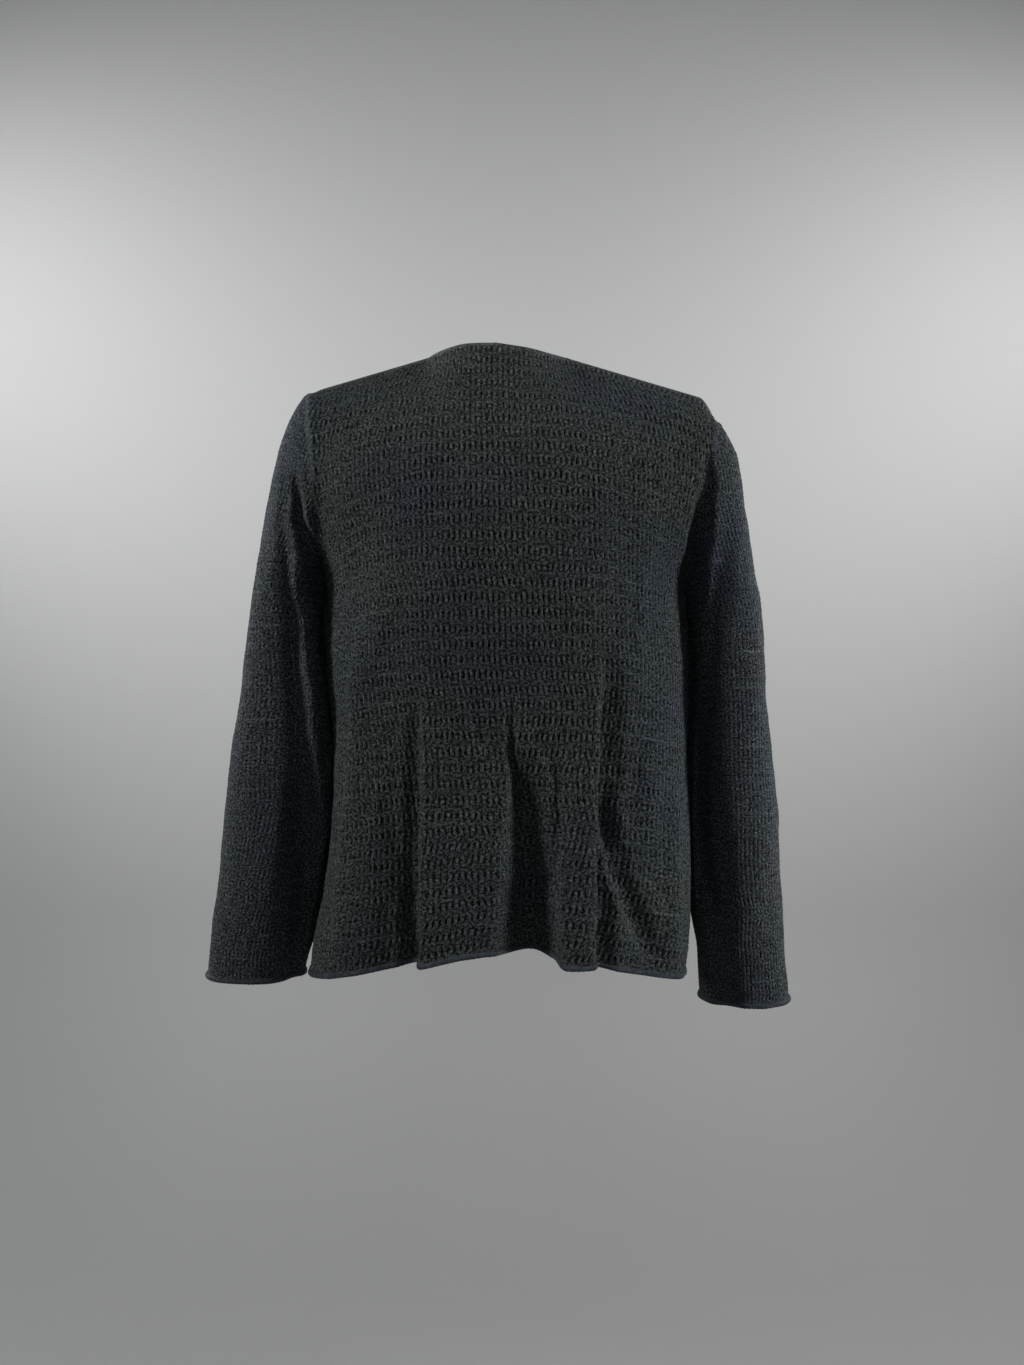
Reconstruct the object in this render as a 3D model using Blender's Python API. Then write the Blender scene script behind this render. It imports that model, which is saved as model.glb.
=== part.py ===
"""Openwork knit cardigan in its worn form, empty: a back, two fronts that meet
edge to edge, two set-in sleeves, and the knit's own rolled edge at hem and
cuffs. Metres, +Z up. The wearer faces -Y, and the wearer's left is +X. The
origin is the middle of the neck opening, level with the neck end of the
shoulder seams, where the garment is held by whoever wears it.
"""
from collections import namedtuple
from math import cos, sin, pi, radians

import bmesh
import bpy
import numpy as np

# ------------------------------------------------------------ driving sizes
CLOTH = 0.0022          # thickness of the knit wall
SEAM = 0.0003           # air between sewn pieces
ROLL_R = 0.0026         # radius of the rolled edge
ROLL_SIDES = 6
ROLL_OUT = 0.0007       # the roll curls outward by this much
UNDERARM_V = 0.62       # share of the panel length below the underarm
NECK_V = 0.84           # height of the front neck corner on the same scale
NECK_X = 0.0635         # half width of the neck opening
NECK_SHIFT = 0.0045     # the neck sits a little towards the wearer's left
NECK_SIDE_Z = 0.004
SHOULDER_TURN = {"left": 0.0020, "right": 0.0190}   # how far each tip turns down
NECK_BACK_Y, NECK_BACK_Z = 0.058, -0.001
FRONT_GAP_TOP, FRONT_GAP_HEM = 0.006, 0.020   # half the opening between the fronts

BACK_COLS = 28
FRONT_COLS = 12
LOW_ROWS = 14           # rows of cells from hem to underarm
CAP_PHI = (180, 162, 144, 124, 104, 84, 64, 44, 25, 11)   # armhole stations, degrees
SLEEVE_COLS = 18

# -------------------------------------------------------------- the armholes
# Each armhole is an oval in a nearly upright plane. phi is 0 at the shoulder
# tip and 180 at the underarm.
Armhole = namedtuple("Armhole", "side tip_x tip_z under_x under_z y_back y_front bow")
ARMHOLE = {
    "left": Armhole(+1, 0.1765, -0.0300, 0.1630, -0.2140, 0.056, -0.056, +0.0040),
    "right": Armhole(-1, -0.1975, -0.0560, -0.1680, -0.2160, 0.050, -0.054, +0.0060),
}

# ------------------------------------------------------- body, row by row
# v runs from the hem (0) to the shoulder and neck (1). x_left, x_right, z_side
# and y_side hold below the underarm, where the side seams are.
# The back's neck edge, from the middle to the shoulder seam. share is how far
# out of half the neck's width.
NeckPoint = namedtuple("NeckPoint", "share y z_left z_right")
NECK_EDGE = [
    NeckPoint(0.00, 0.0580, 0.0003, 0.0003), NeckPoint(0.40, 0.0487, 0.0024, -0.0008),
    NeckPoint(0.70, 0.0296, 0.0038, 0.0002), NeckPoint(0.90, 0.0115, 0.0042, 0.0022),
    NeckPoint(1.00, 0.0000, 0.0040, 0.0040),
]
BodyRow = namedtuple("BodyRow", "name v z_back z_side z_front x_left x_right y_side y_back y_front wrap round_n")
BODY = [
    BodyRow("hem",       0.00, -0.5210, -0.5560, -0.5600, 0.1745, -0.1675, 0.002, 0.098, -0.112, 90, 2.35),
    BodyRow("low hip",   0.06, -0.4910, -0.5240, -0.5270, 0.1705, -0.1705, 0.002, 0.100, -0.114, 90, 2.35),
    BodyRow("hip",       0.14, -0.4510, -0.4800, -0.4820, 0.1610, -0.1725, 0.001, 0.102, -0.116, 90, 2.35),
    BodyRow("below waist", 0.24, -0.3990, -0.4240, -0.4250, 0.1550, -0.1715, 0.000, 0.103, -0.117, 90, 2.30),
    BodyRow("waist",     0.36, -0.3330, -0.3570, -0.3570, 0.1550, -0.1705, 0.000, 0.106, -0.119, 88, 2.25),
    BodyRow("ribs",      0.48, -0.2690, -0.2910, -0.2890, 0.1610, -0.1718, 0.000, 0.112, -0.123, 84, 2.20),
    BodyRow("chest",     0.56, -0.2250, -0.2480, -0.2420, 0.1645, -0.1715, 0.000, 0.116, -0.125, 80, 2.15),
    BodyRow("underarm",  0.62, -0.1930, -0.2140, -0.2070, 0.1630, -0.1680, 0.000, 0.117, -0.124, 76, 2.10),
    BodyRow("blades",    0.72, -0.1390, 0.0,     -0.1490, 0.0,    0.0,     0.000, 0.113, -0.112, 66, 2.05),
    BodyRow("shoulder",  0.84, -0.0770, 0.0,     -0.0830, 0.0,    0.0,     0.000, 0.098, -0.084, 58, 2.00),
    BodyRow("yoke",      0.93, -0.0320, 0.0,     0.0,     0.0,    0.0,     0.000, 0.077, 0.0,    54, 2.00),
    BodyRow("neck",      1.00, NECK_BACK_Z, 0.0, 0.0,     0.0,    0.0,     0.000, NECK_BACK_Y, 0.0, 52, 2.00),
]

# --------------------------------------------------------------- body folds
# Troughs are negative and ridges positive. x_top and x_hem place the fold's
# middle at the height where it starts and at the hem; the two widths are the
# reach of its slopes towards +X and towards -X. A deep trough lifts the hem.
Fold = namedtuple("Fold", "panel name x_top x_hem z_top wide_plus wide_minus depth lift")
FOLDS = [
    Fold("back", "left trough",    +0.078, +0.080, -0.300, 0.040, 0.014, -0.0140, 0.0),
    Fold("back", "left ridge",     +0.061, +0.060, -0.330, 0.014, 0.032, +0.0050, 0.0),
    Fold("back", "middle trough",  -0.014, -0.028, -0.350, 0.046, 0.028, -0.0310, 0.0010),
    Fold("back", "middle ridge",   -0.060, -0.060, -0.360, 0.016, 0.034, +0.0085, -0.0030),
    Fold("back", "right crest",    -0.078, -0.074, -0.300, 0.024, 0.010, +0.0050, 0.0),
    Fold("back", "right trough",   -0.088, -0.100, -0.290, 0.010, 0.024, -0.0085, 0.0),
    Fold("back", "side ridge",     +0.130, +0.124, -0.290, 0.024, 0.030, +0.0045, 0.0),
    Fold("front", "left trough",   +0.060, +0.070, -0.330, 0.030, 0.030, -0.0120, 0.0020),
    Fold("front", "left ridge",    +0.108, +0.116, -0.300, 0.030, 0.030, +0.0070, 0.0),
    Fold("front", "right trough",  -0.074, -0.082, -0.310, 0.032, 0.028, -0.0105, 0.0020),
    Fold("front", "right ridge",   -0.030, -0.036, -0.360, 0.026, 0.030, +0.0060, 0.0),
    Fold("front", "side trough",   -0.130, -0.136, -0.300, 0.022, 0.022, -0.0060, 0.0),
]

# ------------------------------------------------------------------ sleeves
# Rings of the hanging sleeve from the cuff up. x_in faces the body and x_out
# is the outer side, as distances from the middle plane of the wearer.
SleeveRow = namedtuple("SleeveRow", "name z x_in x_out y_mid half_y square")
SLEEVE = {
    "left": [
        SleeveRow("cuff",      -0.5640, 0.1845, 0.2735, -0.012, 0.0370, 2.15),
        SleeveRow("wrist",     -0.5150, 0.1770, 0.2672, -0.010, 0.0390, 2.15),
        SleeveRow("forearm",   -0.4650, 0.1670, 0.2608, -0.008, 0.0420, 2.15),
        SleeveRow("mid arm",   -0.4150, 0.1600, 0.2545, -0.005, 0.0450, 2.15),
        SleeveRow("elbow",     -0.3650, 0.1595, 0.2476, -0.002, 0.0480, 2.20),
        SleeveRow("above elbow", -0.3150, 0.1640, 0.2408, 0.000, 0.0500, 2.20),
        SleeveRow("upper arm", -0.2650, 0.1690, 0.2345, 0.000, 0.0525, 2.20),
        SleeveRow("underarm",  -0.2140, 0.1632, 0.2275, 0.000, 0.0545, 2.20),
    ],
    "right": [
        SleeveRow("cuff",      -0.5860, 0.1850, 0.2665, -0.012, 0.0370, 2.15),
        SleeveRow("wrist",     -0.5350, 0.1820, 0.2615, -0.010, 0.0395, 2.15),
        SleeveRow("forearm",   -0.4850, 0.1790, 0.2580, -0.008, 0.0430, 2.20),
        SleeveRow("mid arm",   -0.4300, 0.1770, 0.2548, -0.005, 0.0460, 2.25),
        SleeveRow("elbow",     -0.3750, 0.1765, 0.2478, -0.002, 0.0490, 2.30),
        SleeveRow("above elbow", -0.3200, 0.1765, 0.2422, 0.000, 0.0515, 2.30),
        SleeveRow("upper arm", -0.2680, 0.1765, 0.2382, 0.000, 0.0530, 2.30),
        SleeveRow("underarm",  -0.2160, 0.1682, 0.2335, 0.000, 0.0540, 2.30),
    ],
}
# The cap above the underarm: the outer line, by height.
CapRow = namedtuple("CapRow", "z x_out half_y")
CAP = {
    "left": [
        CapRow(-0.2140, 0.2275, 0.0545), CapRow(-0.1700, 0.2205, 0.0555),
        CapRow(-0.1300, 0.2140, 0.0550), CapRow(-0.0950, 0.2060, 0.0500),
        CapRow(-0.0650, 0.1970, 0.0400), CapRow(-0.0450, 0.1885, 0.0270),
        CapRow(-0.0300, 0.1785, 0.0060),
    ],
    "right": [
        CapRow(-0.2160, 0.2335, 0.0540), CapRow(-0.1800, 0.2285, 0.0545),
        CapRow(-0.1450, 0.2235, 0.0525), CapRow(-0.1150, 0.2195, 0.0470),
        CapRow(-0.0900, 0.2150, 0.0385), CapRow(-0.0720, 0.2070, 0.0260),
        CapRow(-0.0560, 0.1990, 0.0060),
    ],
}
# Long soft folds down the sleeves, followed from the top by height: the angle
# round the arm from the outer side (0) to the back (90) and the inner side
# (180), with the front negative, and how far the cloth stands out (+) or in (-).
FoldAt = namedtuple("FoldAt", "z angle depth wide")
SLEEVE_FOLDS = {
    ("left", "back crease"): [
        FoldAt(-0.085, 60, 0.0, 18), FoldAt(-0.125, 66, -0.0040, 18), FoldAt(-0.165, 75, -0.0070, 18),
        FoldAt(-0.205, 94, -0.0085, 18), FoldAt(-0.250, 116, -0.0090, 18), FoldAt(-0.330, 116, -0.0090, 18),
        FoldAt(-0.430, 119, -0.0100, 20), FoldAt(-0.480, 136, -0.0100, 22), FoldAt(-0.564, 148, -0.0080, 22),
    ],
    ("left", "inner ridge"): [
        FoldAt(-0.214, 138, 0.0, 22), FoldAt(-0.250, 145, 0.0080, 24), FoldAt(-0.310, 146, 0.0120, 26),
        FoldAt(-0.380, 149, 0.0110, 26), FoldAt(-0.450, 153, 0.0050, 24), FoldAt(-0.510, 160, 0.0, 20),
    ],
    ("left", "inner front"): [
        FoldAt(-0.214, -145, 0.0, 30), FoldAt(-0.240, -145, 0.0060, 30), FoldAt(-0.310, -145, 0.0090, 32),
        FoldAt(-0.400, -148, 0.0080, 32), FoldAt(-0.480, -152, 0.0085, 30), FoldAt(-0.525, -155, 0.0075, 30),
        FoldAt(-0.558, -158, 0.0, 30),
    ],
    ("left", "front crease"): [
        FoldAt(-0.250, -60, 0.0, 22), FoldAt(-0.340, -72, -0.0070, 22), FoldAt(-0.564, -92, -0.0070, 22),
    ],
    ("right", "back crease"): [
        FoldAt(-0.140, 66, 0.0, 18), FoldAt(-0.175, 82, -0.0050, 20), FoldAt(-0.235, 116, -0.0060, 22),
        FoldAt(-0.300, 140, -0.0040, 24), FoldAt(-0.400, 152, -0.0070, 28), FoldAt(-0.470, 146, -0.0090, 28),
        FoldAt(-0.520, 128, -0.0090, 24), FoldAt(-0.586, 120, -0.0070, 24),
    ],
    ("right", "inner front"): [
        FoldAt(-0.216, -150, 0.0, 30), FoldAt(-0.240, -150, 0.0060, 30), FoldAt(-0.310, -150, 0.0080, 32),
        FoldAt(-0.450, -150, 0.0080, 32), FoldAt(-0.500, -152, 0.0070, 30), FoldAt(-0.545, -155, 0.0, 30),
    ],
    ("right", "front crease"): [
        FoldAt(-0.240, -70, 0.0, 22), FoldAt(-0.340, -82, -0.0065, 22), FoldAt(-0.586, -104, -0.0065, 22),
    ],
}


# ------------------------------------------------------------------ helpers
def column(rows, name, at, key="v"):
    """A smooth curve through one column of a table, with no overshoot."""
    xs = np.array([getattr(r, key) for r in rows], float)
    ys = np.array([getattr(r, name) for r in rows], float)
    if xs[0] > xs[-1]:
        xs, ys = xs[::-1], ys[::-1]
    h, slope = np.diff(xs), np.diff(ys) / np.diff(xs)
    m = np.zeros(len(xs))
    for k in range(1, len(xs) - 1):
        if slope[k - 1] * slope[k] > 0:
            w1, w2 = 2 * h[k] + h[k - 1], h[k] + 2 * h[k - 1]
            m[k] = (w1 + w2) / (w1 / slope[k - 1] + w2 / slope[k])
    m[0], m[-1] = slope[0], slope[-1]
    at = np.clip(np.asarray(at, float), xs[0], xs[-1])
    k = np.clip(np.searchsorted(xs, at) - 1, 0, len(h) - 1)
    t = (at - xs[k]) / h[k]
    return (ys[k] * (1 + 2 * t) * (1 - t) ** 2 + m[k] * h[k] * t * (1 - t) ** 2
            + ys[k + 1] * t * t * (3 - 2 * t) + m[k + 1] * h[k] * t * t * (t - 1))


def ease(t):
    t = np.clip(t, 0, 1)
    return t * t * (3 - 2 * t)


def bump(t):
    """1 at 0, falling softly to 0 at -1 and 1."""
    t = np.clip(np.abs(t), 0, 1)
    return (1 - t * t) ** 2


def unit(v):
    return v / np.maximum(np.linalg.norm(v, axis=-1, keepdims=True), 1e-12)


def arm_point(side, half, phi):
    """A point of the armhole; half is +1 on the back and -1 on the front."""
    a = ARMHOLE[side]
    c, s = cos(radians(phi)), sin(radians(phi))
    x = a.under_x + (a.tip_x - a.under_x) * (1 + c) / 2 - a.side * a.bow * s * s
    y = a.y_back * s * (1 - 0.22 * ease((phi - 90) / 60)) if half > 0 else a.y_front * s
    z = (a.tip_z + a.under_z) / 2 + (a.tip_z - a.under_z) / 2 * c
    return np.array([x, y, z])


def arm_normal(side, half, phi, piece=+1):
    """The way out of the cloth at the armhole seam, for the body (+1) and the
    sleeve (-1), which part from each other at the underarm."""
    c, s = cos(radians(phi)), sin(radians(phi))
    part = ease((phi - 115) / 65)
    return unit(np.array([ARMHOLE[side].side * piece * part, half * s, c * (1 - part)]))


def phi_of(v):
    return 180.0 * (1 - (v - UNDERARM_V) / (1 - UNDERARM_V))


def v_of(phi):
    return UNDERARM_V + (1 - phi / 180.0) * (1 - UNDERARM_V)


def side_point(side, half, v):
    """The panel's outer edge: side seam below the underarm, armhole above."""
    if v >= UNDERARM_V:
        return arm_point(side, half, phi_of(v))
    return np.array([float(column(LOWER, "x_" + side, v)), float(column(LOWER, "y_side", v)),
                     float(column(LOWER, "z_side", v))])


def side_normal(side, half, v):
    if v >= UNDERARM_V:
        return arm_normal(side, half, phi_of(v))
    return np.array([ARMHOLE[side].side, 0.0, 0.0])


LOWER = [r for r in BODY if r.v <= UNDERARM_V]
FRONT = [r for r in BODY if r.v <= NECK_V]


def fold_depth(panel, x, z, hem_z):
    """How far the cloth stands out (+) or in (-) and is lifted, at a place on
    a body panel."""
    out, rise = np.zeros_like(x), np.zeros_like(x)
    for f in FOLDS:
        if f.panel != panel:
            continue
        down = np.clip((f.z_top - z) / (f.z_top - hem_z), 0, 1.05)
        mid = f.x_top + (f.x_hem - f.x_top) * down
        t = x - mid
        grow = 0.45 + 0.55 * ease(down)
        t = np.where(t > 0, t / (f.wide_plus * grow), t / (f.wide_minus * grow))
        out += f.depth * ease(down * 1.15) * bump(t)
        rise += f.lift * ease(down * 1.3 - 0.3) * bump(t)
    return out, rise


def arc(inner, outer, wrap, round_n, count=181):
    """Half a body section from the middle to the side, as dense points. wrap
    is how far round it turns, and round_n how full it is."""
    a = np.linspace(0, 1, count) * radians(min(wrap, 89.99))
    sx, cx = np.sin(a) ** (2 / round_n), np.cos(a) ** (2 / round_n)
    fx, fy = sx / sx[-1], (cx - cx[-1]) / (1 - cx[-1])
    x = inner[0] + (outer[0] - inner[0]) * fx
    y = outer[1] + (inner[1] - outer[1]) * fy
    z = inner[2] + (outer[2] - inner[2]) * fx ** 1.5
    return np.stack([x, y, z], 1)


def spaced(points, shares):
    """Points along a dense line at the given shares of its length."""
    d = np.concatenate([[0], np.cumsum(np.linalg.norm(np.diff(points, axis=0), axis=1))])
    at = np.asarray(shares) * d[-1]
    return np.stack([np.interp(at, d, points[:, k]) for k in range(3)], 1)


def shoulder_z(x, side):
    """Height of the shoulder line: a straight slope that turns down at the
    tip, further on the wearer's right, where the cardigan sits lower."""
    a = ARMHOLE[side]
    neck = NECK_SHIFT + a.side * NECK_X
    t = np.clip((x - neck) / (a.tip_x - neck), 0, 1)
    turn = SHOULDER_TURN[side]
    return NECK_SIDE_Z + (a.tip_z + turn - NECK_SIDE_Z) * t - turn * np.clip((t - 0.89) / 0.11, 0, 1) ** 1.7


def neck_front(side, q):
    """The front neck curve: q 0 at the front corner, 1 at the shoulder."""
    s = ARMHOLE[side].side
    row = float(column(FRONT, "y_front", NECK_V)), float(column(FRONT, "z_front", NECK_V))
    x0 = NECK_SHIFT + s * FRONT_GAP_TOP
    x1 = NECK_SHIFT + s * NECK_X
    a = q * pi / 2
    return np.array([x0 + (x1 - x0) * sin(a), row[0] * cos(a) ** 0.9,
                     row[1] + (NECK_SIDE_Z - row[1]) * (1 - cos(a))])


# ------------------------------------------------------------- body panels
def back_half(side, v, shares):
    """A row of the back from the middle line to one side."""
    mid = np.array([NECK_SHIFT * ease((v - 0.5) / 0.5), float(column(BODY, "y_back", v)),
                    float(column(BODY, "z_back", v))])
    dense = arc(mid, side_point(side, +1, v), float(column(BODY, "wrap", v)),
                float(column(BODY, "round_n", v)))
    return spaced(dense, shares)


def back_top(side, shares):
    """The top edge of the back: half the neck, then the shoulder seam."""
    s, tip = ARMHOLE[side].side, arm_point(side, +1, 0)
    t = np.sin(np.linspace(0, pi / 2, 60))
    neck = np.stack([NECK_SHIFT + s * NECK_X * t, column(NECK_EDGE, "y", t, "share"),
                     column(NECK_EDGE, "z_" + side, t, "share")], 1)
    x = np.linspace(neck[-1, 0], tip[0], 60)[1:]
    seam = np.stack([x, np.zeros_like(x), shoulder_z(x, side)], 1)
    return spaced(np.concatenate([neck, seam]), shares)


def back_row(v):
    half = np.linspace(0, 1, BACK_COLS // 2 + 1)
    lift = ease((v - 0.80) / 0.20)
    parts = []
    for side in ("left", "right"):
        row = back_half(side, v, half)
        row += lift * (back_top(side, half) - back_half(side, 1.0, half))
        parts.append(row)
    return np.concatenate([parts[0][::-1], parts[1][1:]])


def front_row(side, v):
    shares = np.linspace(0, 1, FRONT_COLS + 1)
    s = ARMHOLE[side].side

    def plain(v):
        if v <= NECK_V:
            gap = FRONT_GAP_HEM + (FRONT_GAP_TOP - FRONT_GAP_HEM) * (v / NECK_V)
            inner = np.array([NECK_SHIFT * ease(v / NECK_V) + s * gap, float(column(FRONT, "y_front", v)),
                              float(column(FRONT, "z_front", v))])
        else:
            inner = neck_front(side, (v - NECK_V) / (1 - NECK_V))
        return spaced(arc(inner, side_point(side, -1, v), float(column(BODY, "wrap", v)),
                          float(column(BODY, "round_n", v))), shares)

    row = plain(v)
    if v > 0.8:
        top = plain(1.0)
        top_line = top.copy()
        top_line[:, 2] = shoulder_z(top[:, 0], side)
        row += ease((v - 0.80) / 0.20) * (top_line - top)
    return row


def grid_normals(p, outward):
    """Normals of a grid of points, turned the way outward points."""
    du, dv = np.gradient(p, axis=1), np.gradient(p, axis=0)
    n = unit(np.cross(du, dv))
    if (n * outward).sum() < 0:
        n = -n
    return n


def body_panel(rows, panel):
    """Adds the folds to a panel's rows and finds its outward directions."""
    p = np.stack(rows)
    away = p * [1, 1, 0]
    n = grid_normals(p, away)
    flat = unit(n * [1, 1, 0])
    hem = p[0, :, 2]
    edge = np.ones(p.shape[1])
    edge[-1] = 0
    if panel == "back":
        edge[0] = 0
    depth, rise = fold_depth(panel, p[..., 0], p[..., 2], hem[None, :])
    p = p + flat * (depth * edge)[..., None]
    p[..., 2] += rise * edge
    return p, grid_normals(p, away)


V_ROWS = list(np.linspace(0, UNDERARM_V, LOW_ROWS + 1)[:-1]) + [v_of(f) for f in CAP_PHI] + [1.0]


# ------------------------------------------------------------ mesh building
def blend_edge(normals, axis, end, wanted):
    """Sets the directions along one edge of a grid and eases the next line."""
    n = np.moveaxis(normals, axis, 0)
    first, second = (0, 1) if end == 0 else (-1, -2)
    n[first] = wanted
    n[second] = unit(n[second] + 0.4 * wanted)


def make_object(name, verts, faces, colour):
    mesh = bpy.data.meshes.new(name)
    bm = bmesh.new()
    made = [bm.verts.new(v) for v in verts]
    for f in faces:
        if len(set(f)) >= 3:
            bm.faces.new([made[i] for i in dict.fromkeys(f)])
    bmesh.ops.recalc_face_normals(bm, faces=bm.faces)
    bm.to_mesh(mesh)
    bm.free()
    mesh.shade_smooth()
    mesh.set_sharp_from_angle(angle=radians(50))
    ob = bpy.data.objects.new(name, mesh)
    bpy.context.scene.collection.objects.link(ob)
    mat = bpy.data.materials.new(name + "_knit")
    mat.use_nodes = True
    shader = mat.node_tree.nodes["Principled BSDF"]
    shader.inputs["Base Color"].default_value = (*colour, 1.0)
    shader.inputs["Roughness"].default_value = 0.92
    shader.inputs["Metallic"].default_value = 0.0
    mesh.materials.append(mat)
    ob.parent = ROOT
    return ob


def wall(name, p, n, colour, joined_rows=0):
    """A closed cloth wall from a grid of outer points and directions. The
    first joined_rows rows are rings, whose last column is their first."""
    rows, cols = p.shape[:2]
    inner = p - CLOTH * n
    verts, index = [], np.zeros((2, rows, cols), int)
    for k, layer in enumerate((p, inner)):
        for i in range(rows):
            for j in range(cols):
                if j == cols - 1 and i < joined_rows:
                    index[k, i, j] = index[k, i, 0]
                    continue
                index[k, i, j] = len(verts)
                verts.append(tuple(layer[i, j]))
    faces = []
    for i in range(rows - 1):
        for j in range(cols - 1):
            a, b, c, d = (index[0, i, j], index[0, i, j + 1], index[0, i + 1, j + 1], index[0, i + 1, j])
            e, f, g, h = (index[1, i, j], index[1, i, j + 1], index[1, i + 1, j + 1], index[1, i + 1, j])
            if (i + j) % 2:
                faces += [(a, b, c), (a, c, d), (g, f, e), (h, g, e)]
            else:
                faces += [(a, b, d), (b, c, d), (h, f, e), (h, g, f)]
    loops = []
    if joined_rows:
        loops.append([(0, j) for j in range(cols - 1)])
        start = joined_rows - 1
        loops.append([(start, 0)] + [(i, 0) for i in range(start + 1, rows)]
                     + [(rows - 1, j) for j in range(1, cols)]
                     + [(i, cols - 1) for i in range(rows - 2, start, -1)])
    else:
        loops.append([(0, j) for j in range(cols)] + [(i, cols - 1) for i in range(1, rows)]
                     + [(rows - 1, j) for j in range(cols - 2, -1, -1)] + [(i, 0) for i in range(rows - 2, 0, -1)])
    for loop in loops:
        for (i, j), (k, m) in zip(loop, loop[1:] + loop[:1]):
            faces += [(index[0, i, j], index[0, k, m], index[1, k, m]),
                      (index[0, i, j], index[1, k, m], index[1, i, j])]
    return make_object(name, verts, faces, colour)


def roll(name, edge, n, colour, closed=False):
    """The rolled edge: a thin tube just below a panel's lower edge."""
    middle = edge - n * (CLOTH / 2)
    if closed:
        along = unit(np.roll(middle, -1, 0) - np.roll(middle, 1, 0))
    else:
        along = unit(np.gradient(middle, axis=0))
    down = unit(np.cross(along, n))
    down *= np.where(down[:, 2:3] > 0, -1, 1)
    out = unit(n - (n * along).sum(1, keepdims=True) * along)
    centre = middle + down * (ROLL_R + SEAM) + out * ROLL_OUT
    turns = [2 * pi * (k + 0.5) / ROLL_SIDES for k in range(ROLL_SIDES)]
    verts = [tuple(c + ROLL_R * (cos(t) * o + sin(t) * d)) for c, o, d in zip(centre, out, down) for t in turns]
    count, faces = len(centre), []
    for i in range(count if closed else count - 1):
        for k in range(ROLL_SIDES):
            a, b = i * ROLL_SIDES + k, i * ROLL_SIDES + (k + 1) % ROLL_SIDES
            c, d = ((i + 1) % count) * ROLL_SIDES + (k + 1) % ROLL_SIDES, ((i + 1) % count) * ROLL_SIDES + k
            faces += [(a, b, c), (a, c, d)]
    if not closed:
        for ring in (0, count - 1):
            base = ring * ROLL_SIDES
            faces += [(base, base + k, base + k + 1) for k in range(1, ROLL_SIDES - 1)]
    return make_object(name, verts, faces, colour)


# ----------------------------------------------------------------- sleeves
def sleeve_shares():
    """Places of the columns round the arm, closer together at the underarm."""
    t = np.linspace(0, 1, SLEEVE_COLS + 1)
    return t - 0.045 * np.sin(2 * pi * t)


def sleeve_folds(side, angle, z):
    out = np.zeros_like(angle)
    for (fold_side, _), rows in SLEEVE_FOLDS.items():
        if fold_side == side:
            at, depth, wide = (float(column(rows, c, z, "z")) for c in ("angle", "depth", "wide"))
            out += depth * bump((angle - at) / wide)
    return out


def sleeve_ring(side, z):
    """A closed ring from the inner line round the back, outer side and front."""
    s, rows = ARMHOLE[side].side, SLEEVE[side]
    x_in, x_out, y_mid, half_y, n = (float(column(rows, c, z, "z")) for c in
                                     ("x_in", "x_out", "y_mid", "half_y", "square"))
    a = np.linspace(pi, -pi, 361)
    cx, sx = np.cos(a), np.sin(a)
    x = (x_in + x_out) / 2 + (x_out - x_in) / 2 * np.sign(cx) * np.abs(cx) ** (2 / n)
    y = y_mid + half_y * np.sign(sx) * np.abs(sx) ** (2 / n)
    fold = sleeve_folds(side, np.degrees(a), z)
    x, y = x + fold * cx, y + fold * sx
    return spaced(np.stack([s * x, y, np.full_like(x, z)], 1), sleeve_shares())


def cap_row(side, phi):
    """An open row of the cap, from the back of the armhole to its front."""
    s, rows = ARMHOLE[side].side, SLEEVE[side]
    start, end = arm_point(side, +1, phi), arm_point(side, -1, phi)
    z = start[2]
    x_out, half_y = float(column(CAP[side], "x_out", z, "z")), float(column(CAP[side], "half_y", z, "z"))
    n = rows[-1].square
    open_x = abs(start[0])
    low = ease((z - rows[-1].z) / 0.05)          # 0 at the underarm, 1 above it
    middle = (rows[-1].x_in + x_out) / 2 * (1 - low) + (open_x * 0.72 + x_out * 0.28) * low
    end_y = abs(start[1]) / half_y
    last = pi - np.arcsin(min(end_y ** (n / 2), 1.0)) if phi > 96 else pi / 2
    a = np.linspace(last, -last, 361)
    cx, sx = np.cos(a), np.sin(a)
    inner_x = middle - open_x if phi > 96 else x_out - middle
    reach = np.where(cx > 0, x_out - middle, max(inner_x, 0.004))
    x = middle + reach * np.sign(cx) * np.abs(cx) ** (2 / n)
    y = half_y * np.sign(sx) * np.abs(sx) ** (2 / n)
    p = np.stack([s * x, y, np.full_like(x, z)], 1)
    t = np.linspace(0, 1, len(a))
    p += ease(1 - t / 0.45)[:, None] * (start - p[0]) + ease(1 - (1 - t) / 0.45)[:, None] * (end - p[-1])
    p[:, 2] = z + (start[2] - z)
    fold = sleeve_folds(side, np.degrees(a), z) * ease(np.minimum(t, 1 - t) / 0.12)
    p[:, 0] += s * fold * cx
    p[:, 1] += fold * sx
    return spaced(p, sleeve_shares())


def cap_top(side):
    """The last row of the cap lies along the top of the armhole."""
    phi = CAP_PHI[-1]
    t = np.linspace(-phi, phi, 41)
    p = np.stack([arm_point(side, -1 if f > 0 else +1, abs(f)) for f in t])
    return spaced(p, np.linspace(0, 1, SLEEVE_COLS + 1)), t


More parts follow.
